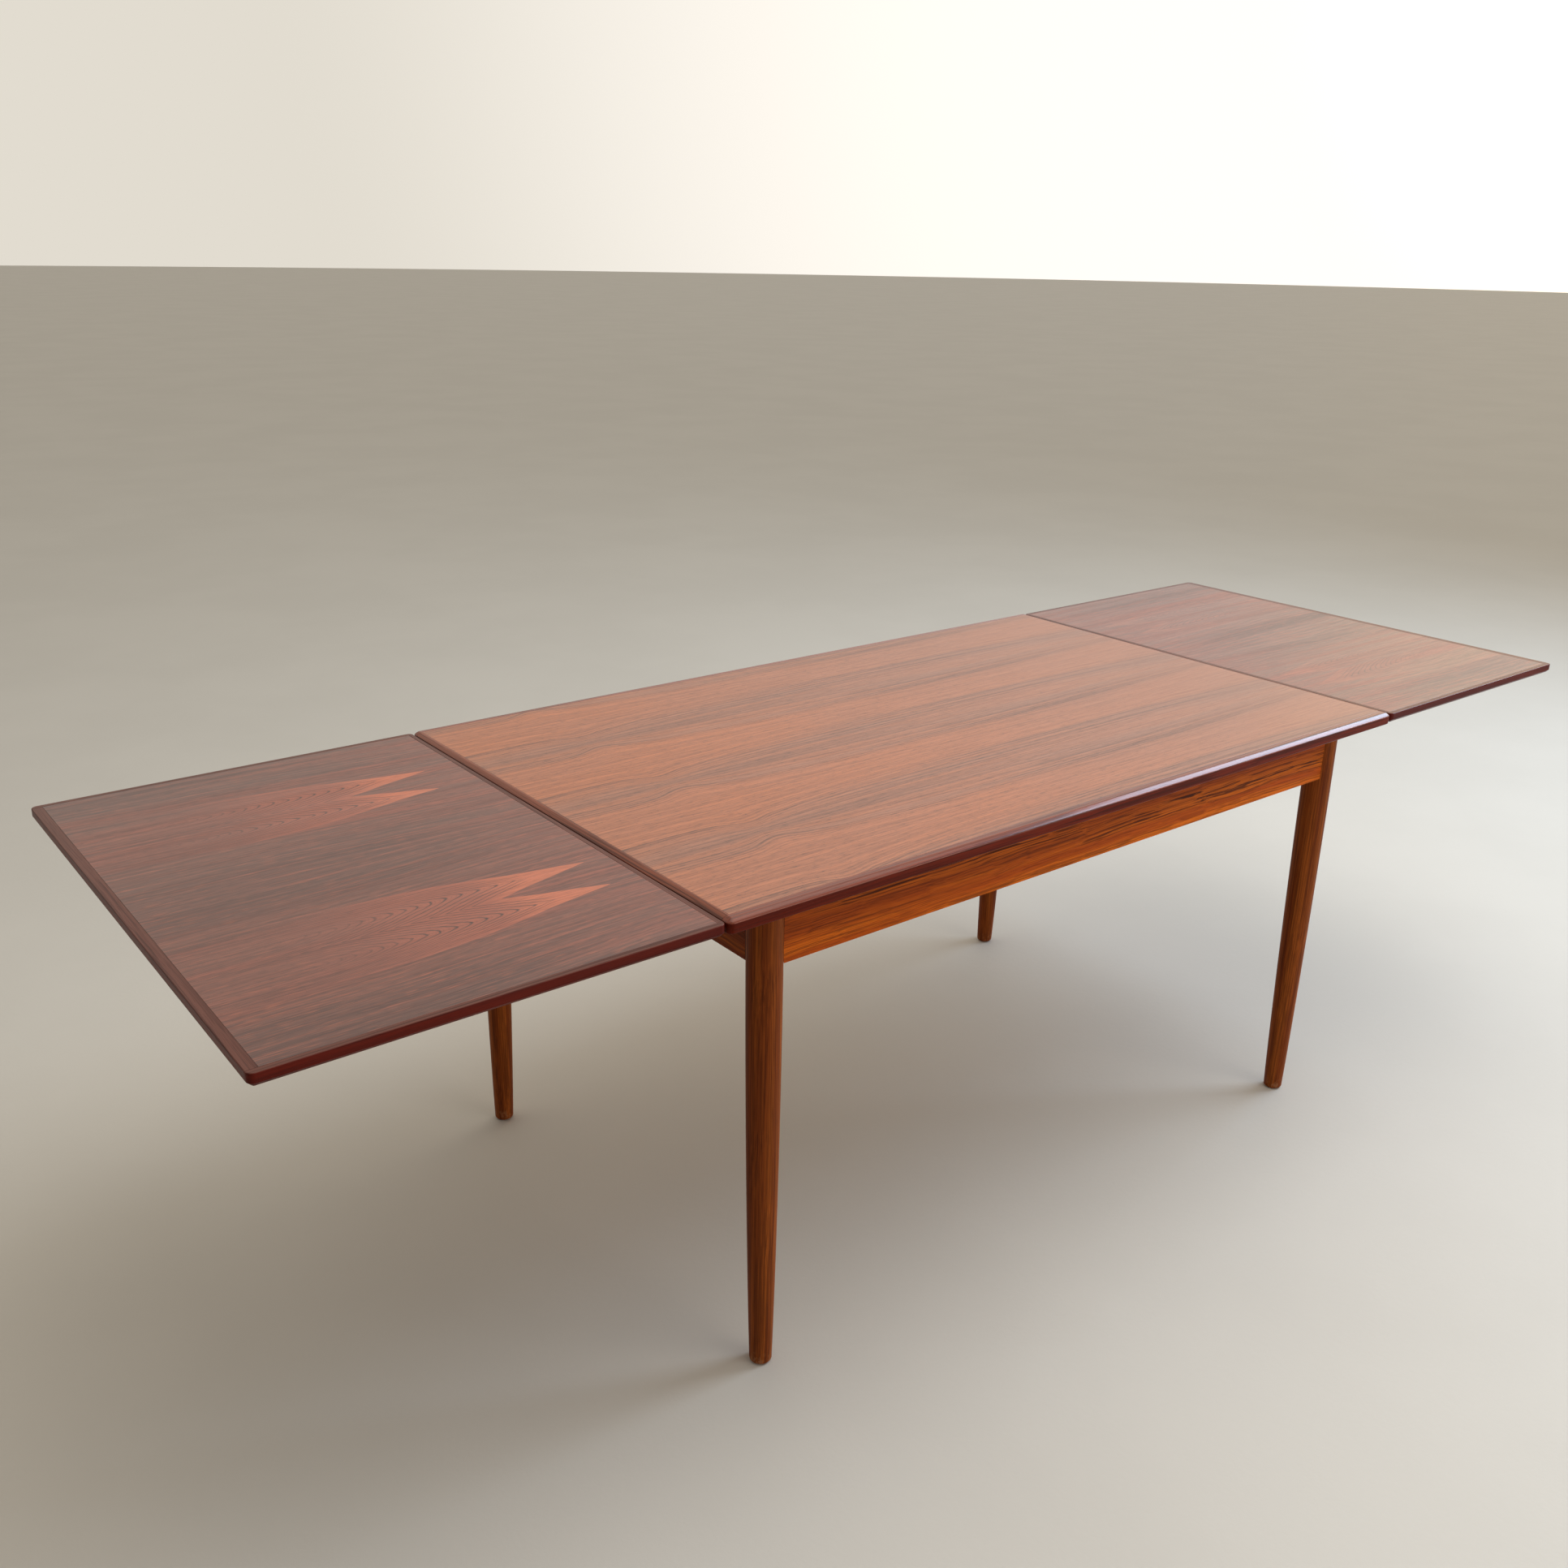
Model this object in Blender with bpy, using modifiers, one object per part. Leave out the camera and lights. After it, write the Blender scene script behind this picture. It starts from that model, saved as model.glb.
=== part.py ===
"""Draw-leaf dining table, modelled with both leaves pulled out.

Frame: X runs along the table, Y from front to back, Z up. The origin is on the floor under the middle of the
centre top. The centre top lies on a fixed centre board and is kept in place by two dowels, so it only lifts.
Each leaf is carried by two tapered slides that run through notches in the end apron and under the centre
board; the taper makes the leaf rise by the thickness of the centre top as it is pulled out.
"""
import math

import bmesh
import bpy
from mathutils import Matrix, Vector

# ---------------------------------------------------------------- overall sizes (metres)
TABLE_HEIGHT = 0.735
TOP_LENGTH = 1.424
TOP_WIDTH = 0.864
TOP_THICKNESS = 0.020
LEAF_LENGTH = 0.570
LEAF_WIDTH = TOP_WIDTH - 0.002

# ---------------------------------------------------------------- clearances
FIT = 0.0003            # between pieces that touch
SLIDE_PLAY = 0.0006     # each side of a slide in its notch
LEAF_GAP = 0.003        # between the end of the centre top and the leaf beside it
TOP_PROUD = 0.003       # how far the centre top stands above the leaves
OVERTRAVEL = 0.008      # leaf travel left before the stop pegs meet the end apron
LEAF_THICKNESS = TOP_THICKNESS - TOP_PROUD  # so that one straight slide runs under both

# ---------------------------------------------------------------- tops
TOP_LIPPING = 0.016     # solid edge of the centre top, long sides
TOP_END_LIPPING = 0.010
LEAF_LIPPING = 0.009
LEAF_END_LIPPING = 0.014
LEAF_INNER_LIPPING = 0.008
CORNER_RADIUS = 0.009
TOP_EDGE_WIDTH = 0.008    # the eased upper edge of the centre top, in plan
TOP_EDGE_DROP = 0.005     # and in height
TOP_UNDER_RADIUS = 0.003
LEAF_EDGE_RADIUS = 0.0015
LEAF_UNDERCUT = 0.0055  # bevel under the visible edges of a leaf

# ---------------------------------------------------------------- frame
LEG_INSET_X = 0.101     # leg axis from the end of the centre top
LEG_INSET_Y = 0.062     # leg axis from the long edge, at the top of the leg
LEG_SPLAY = 0.009       # outward lean in Y over the height of the leg
LEG_TOP_RADIUS = 0.0243
LEG_MIDDLE_RADIUS = 0.0225
LEG_FOOT_RADIUS = 0.0160
FOOT_ROUNDING = 0.005
FOOT_TRIM = 0.0006      # a leg is made this much too long, and sawn level with the floor
LEG_TOP_ROUNDING = 0.003
APRON_INSET_Y = 0.045   # outer face of a long apron from the long edge of the centre top
APRON_INSET_X = 0.085   # outer face of an end apron from the end of the centre top
APRON_THICKNESS = 0.022
APRON_HEIGHT = 0.073
TENON_LENGTH = 0.012
TENON_THICKNESS = 0.008
TENON_HEIGHT = 0.026
TENON_ABOVE_BOTTOM = 0.008
BLOCK_LEG = 0.070       # corner block, along each apron
BLOCK_HEIGHT = 0.045
BOARD_WIDTH = 0.256     # fixed centre board, along X

# ---------------------------------------------------------------- slides and fastenings
SLIDE_WIDTH = 0.024
SLIDE_PASSING = 0.012   # between the slides of the two leaves
LEFT_SLIDE_Y = TOP_WIDTH / 2 - 0.160  # slide axes from the middle, for the left leaf
RIGHT_SLIDE_Y = LEFT_SLIDE_Y - SLIDE_WIDTH - SLIDE_PASSING  # and for the right leaf
SLIDE_OUTER_INSET = 0.085
SLIDE_INNER_X = 0.030   # inner end of a pulled-out slide, from the middle
NOTCH_DEPTH = 0.034
PEG_RADIUS = 0.004
PEG_REACH = 0.009
PEG_DROP = 0.026        # peg axis below the top of the end apron
SCREW_RADIUS = 0.002
SCREW_HEAD_RADIUS = 0.004
SCREW_HEAD_HEIGHT = 0.003
SCREW_INTO_LEAF = 0.011
SLIDE_SCREW_LENGTH = 0.034
SLIDE_SCREWS_AT = (0.07, 0.26, 0.45)  # from the outer end of the slide
BOARD_SCREW_LENGTH = 0.034
BOARD_SCREW_X = 0.095
DOWEL_RADIUS = 0.006
DOWEL_BELOW = 0.032     # length of a guide dowel under the centre top
DOWEL_SOCKET = 0.012
DOWEL_PLAY = 0.0008
DOWEL_Y = 0.150
GUIDE_HEIGHT = 0.030    # battens under the centre board, between and beside the slides
GUIDE_WIDTH = 0.016

ROUND = 28              # sides of a leg
SMALL_ROUND = 12        # sides of screws, pegs and dowels

# ---------------------------------------------------------------- derived heights and places
TOP_UNDER = TABLE_HEIGHT - TOP_THICKNESS
LEAF_TOP = TABLE_HEIGHT - TOP_PROUD
LEAF_UNDER = LEAF_TOP - LEAF_THICKNESS
LEAF_TRAVEL = LEAF_LENGTH + LEAF_GAP
LEAF_RISE = LEAF_TOP - (TOP_UNDER - FIT)
FRAME_TOP = LEAF_UNDER - LEAF_RISE - FIT
SLOPE = LEAF_RISE / LEAF_TRAVEL
BOARD_UNDER = FRAME_TOP + FIT
BOARD_TOP = TOP_UNDER - FIT
APRON_BOTTOM = FRAME_TOP - APRON_HEIGHT
NOTCH_BOTTOM = FRAME_TOP - NOTCH_DEPTH
HALF_LENGTH = TOP_LENGTH / 2
HALF_WIDTH = TOP_WIDTH / 2
APRON_FACE_X = HALF_LENGTH - APRON_INSET_X
APRON_FACE_Y = HALF_WIDTH - APRON_INSET_Y
APRON_BACK_X = APRON_FACE_X - APRON_THICKNESS
APRON_BACK_Y = APRON_FACE_Y - APRON_THICKNESS
LEG_X = HALF_LENGTH - LEG_INSET_X
LEG_Y = HALF_WIDTH - LEG_INSET_Y
LEAF_INNER_X = HALF_LENGTH + LEAF_GAP
LEAF_OUTER_X = LEAF_INNER_X + LEAF_LENGTH

# ---------------------------------------------------------------- materials
WOODS = {
    "top_veneer": ((0.43, 0.23, 0.14), 0.42),
    "leaf_veneer": ((0.22, 0.10, 0.07), 0.40),
    "dark_lipping": ((0.11, 0.045, 0.035), 0.34),
    "leg_wood": ((0.25, 0.12, 0.06), 0.45),
    "apron_veneer": ((0.38, 0.15, 0.04), 0.42),
    "beech": ((0.52, 0.36, 0.21), 0.60),
    "steel": ((0.45, 0.44, 0.42), 0.35),
}


def material(kind):
    """The shared material of one kind of wood or metal."""
    found = bpy.data.materials.get(kind)
    if found:
        return found
    colour, roughness = WOODS[kind]
    made = bpy.data.materials.new(kind)
    made.use_nodes = True
    shader = made.node_tree.nodes["Principled BSDF"]
    shader.inputs["Base Color"].default_value = (*colour, 1.0)
    shader.inputs["Roughness"].default_value = roughness
    shader.inputs["Metallic"].default_value = 1.0 if kind == "steel" else 0.0
    made.diffuse_color = (*colour, 1.0)
    return made


def clear_scene():
    """Remove every object and make the two collections."""
    for old in list(bpy.data.objects):
        bpy.data.objects.remove(old, do_unlink=True)
    made = []
    for name in ("draw_leaf_table", "cutters"):
        group = bpy.data.collections.new(name)
        bpy.context.scene.collection.children.link(group)
        made.append(group)
    return made


def add(name, mesh, kind, at=(0, 0, 0), parent=None):
    """Put a mesh in the parts collection as a named, coloured object."""
    obj = bpy.data.objects.new(name, mesh)
    if not mesh.materials:
        mesh.materials.append(material(kind))
    PARTS.objects.link(obj)
    obj.parent = parent
    obj.location = Vector(at) - (parent.location if parent else Vector())
    return obj


def add_cutter(name, mesh, at=(0, 0, 0)):
    """Put a mesh in the cutters collection, shown as wire."""
    obj = bpy.data.objects.new(name, mesh)
    CUTTERS.objects.link(obj)
    obj.location = at
    obj.hide_render = True
    obj.display_type = "WIRE"
    return obj


def cut(obj, *cutters, operation="DIFFERENCE"):
    """Take the cutters out of an object, or join them to it."""
    for cutter in cutters:
        step = obj.modifiers.new(operation.lower(), "BOOLEAN")
        step.operation = operation
        step.solver = "EXACT"
        step.object = cutter


def finish_mesh(bm, name, smooth=False):
    """Turn a bmesh into a mesh with its faces pointing out."""
    bmesh.ops.recalc_face_normals(bm, faces=bm.faces)
    mesh = bpy.data.meshes.new(name)
    bm.to_mesh(mesh)
    bm.free()
    if smooth:
        mesh.shade_smooth()
        mesh.set_sharp_from_angle(angle=math.radians(35))
    return mesh


def box_bmesh(size):
    """A bmesh box about the origin."""
    bm = bmesh.new()
    bmesh.ops.create_cube(bm, size=1.0)
    bmesh.ops.scale(bm, vec=size, verts=bm.verts)
    return bm


def box_mesh(name, size):
    """A plain box about the origin."""
    return finish_mesh(box_bmesh(size), name)


def board_mesh(name, size, corners=(), corner_radius=0.0, joints=(), top=(0.0, 3), under=(0.0, 3)):
    """A board with some plan corners rounded and its free edges eased.

    corners: (x sign, y sign) of the plan corners to round. joints: the directions of the side faces that meet
    other pieces and stay sharp. top and under: (size, segments) of the easing, where 1 segment is a bevel, and
    a third number gives it another height.
    """
    bm = box_bmesh(size)
    if corners and corner_radius:
        picked = []
        for edge in bm.edges:
            a, b = (v.co for v in edge.verts)
            if abs(a.z - b.z) > 0.5 * size[2]:
                if (int(math.copysign(1, a.x)), int(math.copysign(1, a.y))) in corners:
                    picked.append(edge)
        bmesh.ops.bevel(bm, geom=picked, offset=corner_radius, segments=4, profile=0.5, affect="EDGES")
    kept = [Vector(j) for j in joints]
    for sign, (radius, segments, *drop) in ((1, top), (-1, under)):
        if not radius:
            continue
        bm.normal_update()
        picked = []
        for edge in bm.edges:
            flat = [f for f in edge.link_faces if f.normal.z * sign > 0.99]
            side = [f for f in edge.link_faces if abs(f.normal.z) < 0.01]
            if len(flat) == 1 and len(side) == 1 and not any(side[0].normal.dot(k) > 0.99 for k in kept):
                picked.append(edge)
        bmesh.ops.bevel(bm, geom=picked, offset=radius, segments=segments, profile=0.5, affect="EDGES")
        if drop:
            level = size[2] / 2
            for vert in bm.verts:
                depth = level - sign * vert.co.z
                if depth < radius + 0.00001:
                    vert.co.z = sign * (level - depth * drop[0] / radius)
    return finish_mesh(bm, name, smooth=True)


def turned_mesh(name, profile, sides):
    """A turned solid from (radius, height) pairs listed from top to bottom, the first and last on the axis."""
    mesh = bpy.data.meshes.new(name + "_profile")
    points = [(r, 0.0, z) for r, z in profile]
    mesh.from_pydata(points, [(i, i + 1) for i in range(len(points) - 1)], [])
    holder = bpy.data.objects.new(name + "_profile", mesh)
    CUTTERS.objects.link(holder)
    spin = holder.modifiers.new("turn", "SCREW")
    spin.steps = spin.render_steps = sides
    spin.use_merge_vertices = True
    spin.merge_threshold = 0.00002
    spin.use_smooth_shade = True
    bpy.context.view_layer.update()
    made = bpy.data.meshes.new_from_object(holder.evaluated_get(bpy.context.evaluated_depsgraph_get()))
    bpy.data.objects.remove(holder)
    made.name = name
    bm = bmesh.new()
    bm.from_mesh(made)
    bmesh.ops.remove_doubles(bm, verts=bm.verts, dist=0.00002)
    bmesh.ops.recalc_face_normals(bm, faces=bm.faces)
    bm.to_mesh(made)
    bm.free()
    made.shade_smooth()
    made.set_sharp_from_angle(angle=math.radians(35))
    return made


def rod_mesh(name, radius, height, sides=SMALL_ROUND):
    """A plain cylinder about the origin, along Z."""
    bm = bmesh.new()
    bmesh.ops.create_cone(bm, cap_ends=True, segments=sides, radius1=radius, radius2=radius, depth=height)
    return finish_mesh(bm, name, smooth=True)


def outline_mesh(name, points, width):
    """A flat (x, z) outline thickened along Y, centred on Y = 0."""
    curve = bpy.data.curves.new(name, "CURVE")
    curve.dimensions = "2D"
    curve.fill_mode = "BOTH"
    curve.extrude = width / 2
    line = curve.splines.new("POLY")
    line.points.add(len(points) - 1)
    for point, (x, z) in zip(line.points, points):
        point.co = (x, z, 0, 1)
    line.use_cyclic_u = True
    holder = bpy.data.objects.new(name, curve)
    CUTTERS.objects.link(holder)
    bpy.context.view_layer.update()
    made = bpy.data.meshes.new_from_object(holder.evaluated_get(bpy.context.evaluated_depsgraph_get()))
    bpy.data.objects.remove(holder)
    bpy.data.curves.remove(curve)
    bm = bmesh.new()
    bm.from_mesh(made)
    bpy.data.meshes.remove(made)
    bmesh.ops.remove_doubles(bm, verts=bm.verts, dist=0.00001)
    bmesh.ops.rotate(bm, verts=bm.verts, matrix=Matrix.Rotation(math.radians(90), 3, "X"))
    return finish_mesh(bm, name)


def span(low, high):
    """(size, middle) of a stretch."""
    return high - low, (high + low) / 2


# ---------------------------------------------------------------- legs and aprons
def leg_profile(extra=0.0):
    """(radius, height) down a leg, from its middle at the top to its middle at the floor."""
    top, foot, middle = LEG_TOP_RADIUS + extra, LEG_FOOT_RADIUS + extra, LEG_MIDDLE_RADIUS + extra
    if extra:
        return [(0, FRAME_TOP + 0.01), (top, FRAME_TOP + 0.01), (top, FRAME_TOP - 0.01),
                (top, APRON_BOTTOM), (middle, FRAME_TOP * 0.5), (foot, 0.0), (0, 0.0)]
    profile = [(0, FRAME_TOP), (top - LEG_TOP_ROUNDING, FRAME_TOP)]
    for step in (30, 60, 90):
        turn = math.radians(step)
        profile.append((top - LEG_TOP_ROUNDING * (1 - math.sin(turn)),
                        FRAME_TOP - LEG_TOP_ROUNDING * (1 - math.cos(turn))))
    profile.append((top, APRON_BOTTOM))
    rest = APRON_BOTTOM - FOOT_ROUNDING
    for share in (0.2, 0.4, 0.6, 0.8):
        # a slow swell, so that the leg thins fastest near the floor
        radius = foot + (top - foot) * (1 - share ** 1.7) ** 0.9
        profile.append((radius, FOOT_ROUNDING + rest * (1 - share)))
    for step in (0, 30, 60):
        turn = math.radians(step)
        profile.append((foot - FOOT_ROUNDING * (1 - math.cos(turn)), FOOT_ROUNDING * (1 - math.sin(turn))))
    profile += [(foot - FOOT_ROUNDING * 0.7, -FOOT_TRIM), (0, -FOOT_TRIM)]
    return profile


def leg_lean(sy):
    """The small turn about X that splays a leg."""
    return sy * math.atan2(LEG_SPLAY, FRAME_TOP)


def place_leg(obj, sx, sy):
    """Stand a leg, or its cutter, at its corner, leaning about the middle of its top."""
    lean = leg_lean(sy)
    obj.rotation_euler = (lean, 0, 0)
    obj.location = (sx * LEG_X, sy * LEG_Y + math.sin(lean) * FRAME_TOP, FRAME_TOP - math.cos(lean) * FRAME_TOP)


CORNERS = {"front_left": (-1, -1), "front_right": (1, -1), "back_left": (-1, 1), "back_right": (1, 1)}


def leg_level_foot():
    """A slab that trims the leaning feet level with the floor."""
    size = (TOP_LENGTH, TOP_WIDTH + 0.4, 0.05)
    return add_cutter("floor_trim", box_mesh("floor_trim", size), (0, 0, -0.025))


def tenon_box(name, along, sx, sy, extra=0.0):
    """The tenon of the apron that runs along X or Y, at one corner. It starts inside the apron's end."""
    height = TENON_HEIGHT + 2 * extra
    thick = TENON_THICKNESS + 2 * extra
    z = APRON_BOTTOM + TENON_ABOVE_BOTTOM + TENON_HEIGHT / 2
    root = 0.010
    length = LEG_TOP_RADIUS  # from the middle of the leg outwards
    start = length - TENON_LENGTH - extra
    reach = length + root
    size, middle = span(start, reach)
    if along == "x":
        at = (sx * (LEG_X - middle), sy * (APRON_FACE_Y - APRON_THICKNESS / 2), z)
        dims = (size, thick, height)
    else:
        at = (sx * (APRON_FACE_X - APRON_THICKNESS / 2), sy * (LEG_Y - middle), z)
        dims = (thick, size, height)
    return add_cutter(name, box_mesh(name, dims), at)


def build_frame():
    """Legs, aprons, corner blocks and the fixed centre board."""
    parts = {}
    trim = leg_level_foot()
    leg_shape = turned_mesh("leg", leg_profile(), ROUND)
    cutter_shape = turned_mesh("leg_room", leg_profile(FIT), ROUND)
    rooms = {}
    for corner, (sx, sy) in CORNERS.items():
        leg = add("leg_" + corner, leg_shape, "leg_wood")
        place_leg(leg, sx, sy)
        room = add_cutter("room_" + corner, cutter_shape)
        place_leg(room, sx, sy)
        rooms[corner] = room
        cut(leg, trim, tenon_box("mortise_x_" + corner, "x", sx, sy, FIT),
            tenon_box("mortise_y_" + corner, "y", sx, sy, FIT))
        parts[corner] = leg

    middle_z = FRAME_TOP - APRON_HEIGHT / 2
    # the long aprons stop at the middle of the legs, and are shaped to them
    for side, sy in (("front", -1), ("back", 1)):
        size = (2 * LEG_X, APRON_THICKNESS, APRON_HEIGHT)
        apron = add("apron_" + side, box_mesh("apron_" + side, size), "apron_veneer",
                    (0, sy * (APRON_FACE_Y - APRON_THICKNESS / 2), middle_z))
        ends = [c for c in CORNERS if c.startswith(side)]
        cut(apron, *[rooms[c] for c in ends])
        cut(apron, *[tenon_box("tenon_x_" + c, "x", *CORNERS[c]) for c in ends], operation="UNION")
        holes = [add_cutter(f"apron_hole_{side}_{sx}", rod_mesh("apron_hole", SCREW_RADIUS + FIT, 0.060),
                            (sx * BOARD_SCREW_X, sy * (APRON_FACE_Y - APRON_THICKNESS / 2), FRAME_TOP))
                 for sx in (-1, 1)]
        cut(apron, *holes)
    for side, sx in (("left", -1), ("right", 1)):
        size = (APRON_THICKNESS, 2 * LEG_Y, APRON_HEIGHT)
        apron = add("apron_" + side, box_mesh("apron_" + side, size), "apron_veneer",
                    (sx * (APRON_FACE_X - APRON_THICKNESS / 2), 0, middle_z))
        ends = [c for c in CORNERS if c.endswith(side)]
        cut(apron, *[rooms[c] for c in ends])
        cut(apron, *[tenon_box("tenon_y_" + c, "y", *CORNERS[c]) for c in ends], operation="UNION")
        run = LEFT_SLIDE_Y if sx < 0 else RIGHT_SLIDE_Y
        notch = (APRON_THICKNESS * 2, SLIDE_WIDTH + 2 * SLIDE_PLAY, NOTCH_DEPTH * 2)
        cut(apron, *[add_cutter(f"notch_{side}_{sy}", box_mesh("notch", notch),
                                (sx * (APRON_FACE_X - APRON_THICKNESS / 2), sy * run, FRAME_TOP))
                     for sy in (-1, 1)])

    for corner, (sx, sy) in CORNERS.items():
        x, y = sx * (APRON_BACK_X - FIT), sy * (APRON_BACK_Y - FIT)
        outline = [(x, y), (x - sx * BLOCK_LEG, y), (x, y - sy * BLOCK_LEG)]
        bm = bmesh.new()
        low = APRON_BOTTOM + 0.006
        ring = [bm.verts.new((px, py, low)) for px, py in outline]
        face = bm.faces.new(ring)
        lifted = bmesh.ops.extrude_face_region(bm, geom=[face])
        bmesh.ops.translate(bm, vec=(0, 0, BLOCK_HEIGHT),
                            verts=[v for v in lifted["geom"] if isinstance(v, bmesh.types.BMVert)])
        block = add("corner_block_" + corner, finish_mesh(bm, "corner_block"), "beech")
        cut(block, rooms[corner])

    thick, mid = span(BOARD_UNDER, BOARD_TOP)
    board = add("centre_board", box_mesh("centre_board", (BOARD_WIDTH, 2 * APRON_FACE_Y, thick)), "beech",
                (0, 0, mid))
    sink = turned_mesh("board_screw_room", screw_profile(BOARD_SCREW_LENGTH, FIT), SMALL_ROUND)
    shank = turned_mesh("board_screw", screw_profile(BOARD_SCREW_LENGTH), SMALL_ROUND)
    for side, sy in (("front", -1), ("back", 1)):
        for end, sx in (("left", -1), ("right", 1)):
            at = (sx * BOARD_SCREW_X, sy * (APRON_FACE_Y - APRON_THICKNESS / 2), BOARD_TOP)
            screw = add(f"board_screw_{side}_{end}", shank, "steel", at)
            cut(board, add_cutter(f"board_sink_{side}_{end}", sink, at))
    for side, sy in (("front", -1), ("back", 1)):
        cut(board, add_cutter("dowel_hole_" + side, rod_mesh("dowel_hole", DOWEL_RADIUS + DOWEL_PLAY, 0.08),
                              (0, sy * DOWEL_Y, mid)))
        # a batten between the two runs of slides, hung under the centre board
        between = LEFT_SLIDE_Y + SLIDE_WIDTH / 2 + SLIDE_PLAY + PEG_REACH + 0.004
        add("slide_guide_" + side, box_mesh("slide_guide", (BOARD_WIDTH, GUIDE_WIDTH, GUIDE_HEIGHT)), "beech",
            (0, sy * (between + GUIDE_WIDTH / 2), BOARD_UNDER - FIT - GUIDE_HEIGHT / 2))
    return parts


def screw_profile(length, extra=0.0):
    """(radius, height) of a countersunk screw whose flat head is at height 0 and whose point is below."""
    top = 0.004 if extra else -FIT
    shank, head = SCREW_RADIUS + extra, SCREW_HEAD_RADIUS + extra
    return [(0, top), (head, top), (head, -FIT - extra), (shank, -FIT - extra - SCREW_HEAD_HEIGHT),
            (shank, -length + 0.005), (0, -length - extra)]


# ---------------------------------------------------------------- centre top
def edged_board(prefix, body, low_x, high_x, low_y, high_y, low_z, high_z, sides, ends, veneer, top, under):
    """A veneered panel between two long lippings and two end lippings.

    sides: width of the long lippings. ends: widths of the lippings at low and high X. top and under: easing
    of the free edges. Returns the panel and the lippings by name.
    """
    thick, mid_z = span(low_z, high_z)
    made = {}
    inner_low, inner_high = low_x + ends[0], high_x - ends[1]
    size_x, mid_x = span(inner_low + FIT, inner_high - FIT)
    size_y, mid_y = span(low_y + sides + FIT, high_y - sides - FIT)
    made["panel"] = add(prefix + "_panel", box_mesh(prefix + "_panel", (size_x, size_y, thick)), veneer,
                        (mid_x, mid_y, mid_z), body)
    long_x, long_mid = span(low_x, high_x)
    for side, sy in (("front", -1), ("back", 1)):
        edge = low_y if sy < 0 else high_y
        shape = board_mesh(f"{prefix}_lipping_{side}", (long_x, sides, thick),
                           [c for c in CORNERS.values() if c[1] == sy], min(CORNER_RADIUS, sides * 0.9),
                           [(0, -sy, 0)], top, under)
        made[side] = add(f"{prefix}_lipping_{side}", shape, "dark_lipping",
                         (long_mid, edge - sy * sides / 2, mid_z), body)
    for end, sx, width in (("left", -1, ends[0]), ("right", 1, ends[1])):
        edge = low_x if sx < 0 else high_x
        shape = board_mesh(f"{prefix}_lipping_{end}", (width, size_y, thick), (), 0.0,
                           [(-sx, 0, 0), (0, 1, 0), (0, -1, 0)], top, under)
        made[end] = add(f"{prefix}_lipping_{end}", shape, "dark_lipping",
                        (edge - sx * width / 2, mid_y, mid_z), body)
    return made


def empty(name, at):
    """A parent that marks where a moving body's joint axis passes."""
    holder = bpy.data.objects.new(name, None)
    PARTS.objects.link(holder)
    holder.location = at
    return holder


def build_centre_top():
    """The loose centre top and its two guide dowels."""
    body = empty("centre_top_lift", (0, 0, TOP_UNDER))
    made = edged_board("top", body, -HALF_LENGTH, HALF_LENGTH, -HALF_WIDTH, HALF_WIDTH, TOP_UNDER,
                       TABLE_HEIGHT, TOP_LIPPING, (TOP_END_LIPPING, TOP_END_LIPPING), "top_veneer",
                       (TOP_EDGE_WIDTH, 4, TOP_EDGE_DROP), (TOP_UNDER_RADIUS, 2))
    low, high = TOP_UNDER - DOWEL_BELOW, TOP_UNDER + DOWEL_SOCKET
    length, mid = span(low, high)
    ease = 0.0015
    profile = [(0, length / 2), (DOWEL_RADIUS, length / 2), (DOWEL_RADIUS, -length / 2 + ease),
               (DOWEL_RADIUS - ease, -length / 2), (0, -length / 2)]
    dowel = turned_mesh("guide_dowel", profile, SMALL_ROUND)
    for side, sy in (("front", -1), ("back", 1)):
        at = (0, sy * DOWEL_Y, mid)
        add("guide_dowel_" + side, dowel, "beech", at, body)
        cut(made["panel"], add_cutter("dowel_socket_" + side,
                                      rod_mesh("dowel_socket", DOWEL_RADIUS + FIT, length + 2 * FIT), at))


# ---------------------------------------------------------------- leaves
def slide_outline(sx):
    """(x, z) corners of a slide of the leaf at the sx end, pulled out."""
    outer = LEAF_OUTER_X - SLIDE_OUTER_INSET
    inner = SLIDE_INNER_X
    flat = TOP_UNDER - FIT
    board_edge = BOARD_WIDTH / 2
    arm_low = BOARD_UNDER - FIT
    # distance from the middle at which the sloping arm reaches the underside of the tops
    meet = board_edge + (flat - arm_low) / SLOPE
    under = NOTCH_BOTTOM + FIT

    def under_at(x):
        return under + SLOPE * (x - APRON_BACK_X)

    points = [(outer, flat), (meet, flat), (inner, arm_low - SLOPE * (board_edge - inner)),
              (inner, under_at(inner)), (outer - 0.030, under_at(outer - 0.030)),
              (outer, under_at(outer) + 0.012)]
    return [(sx * x, z) for x, z in points]


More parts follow.
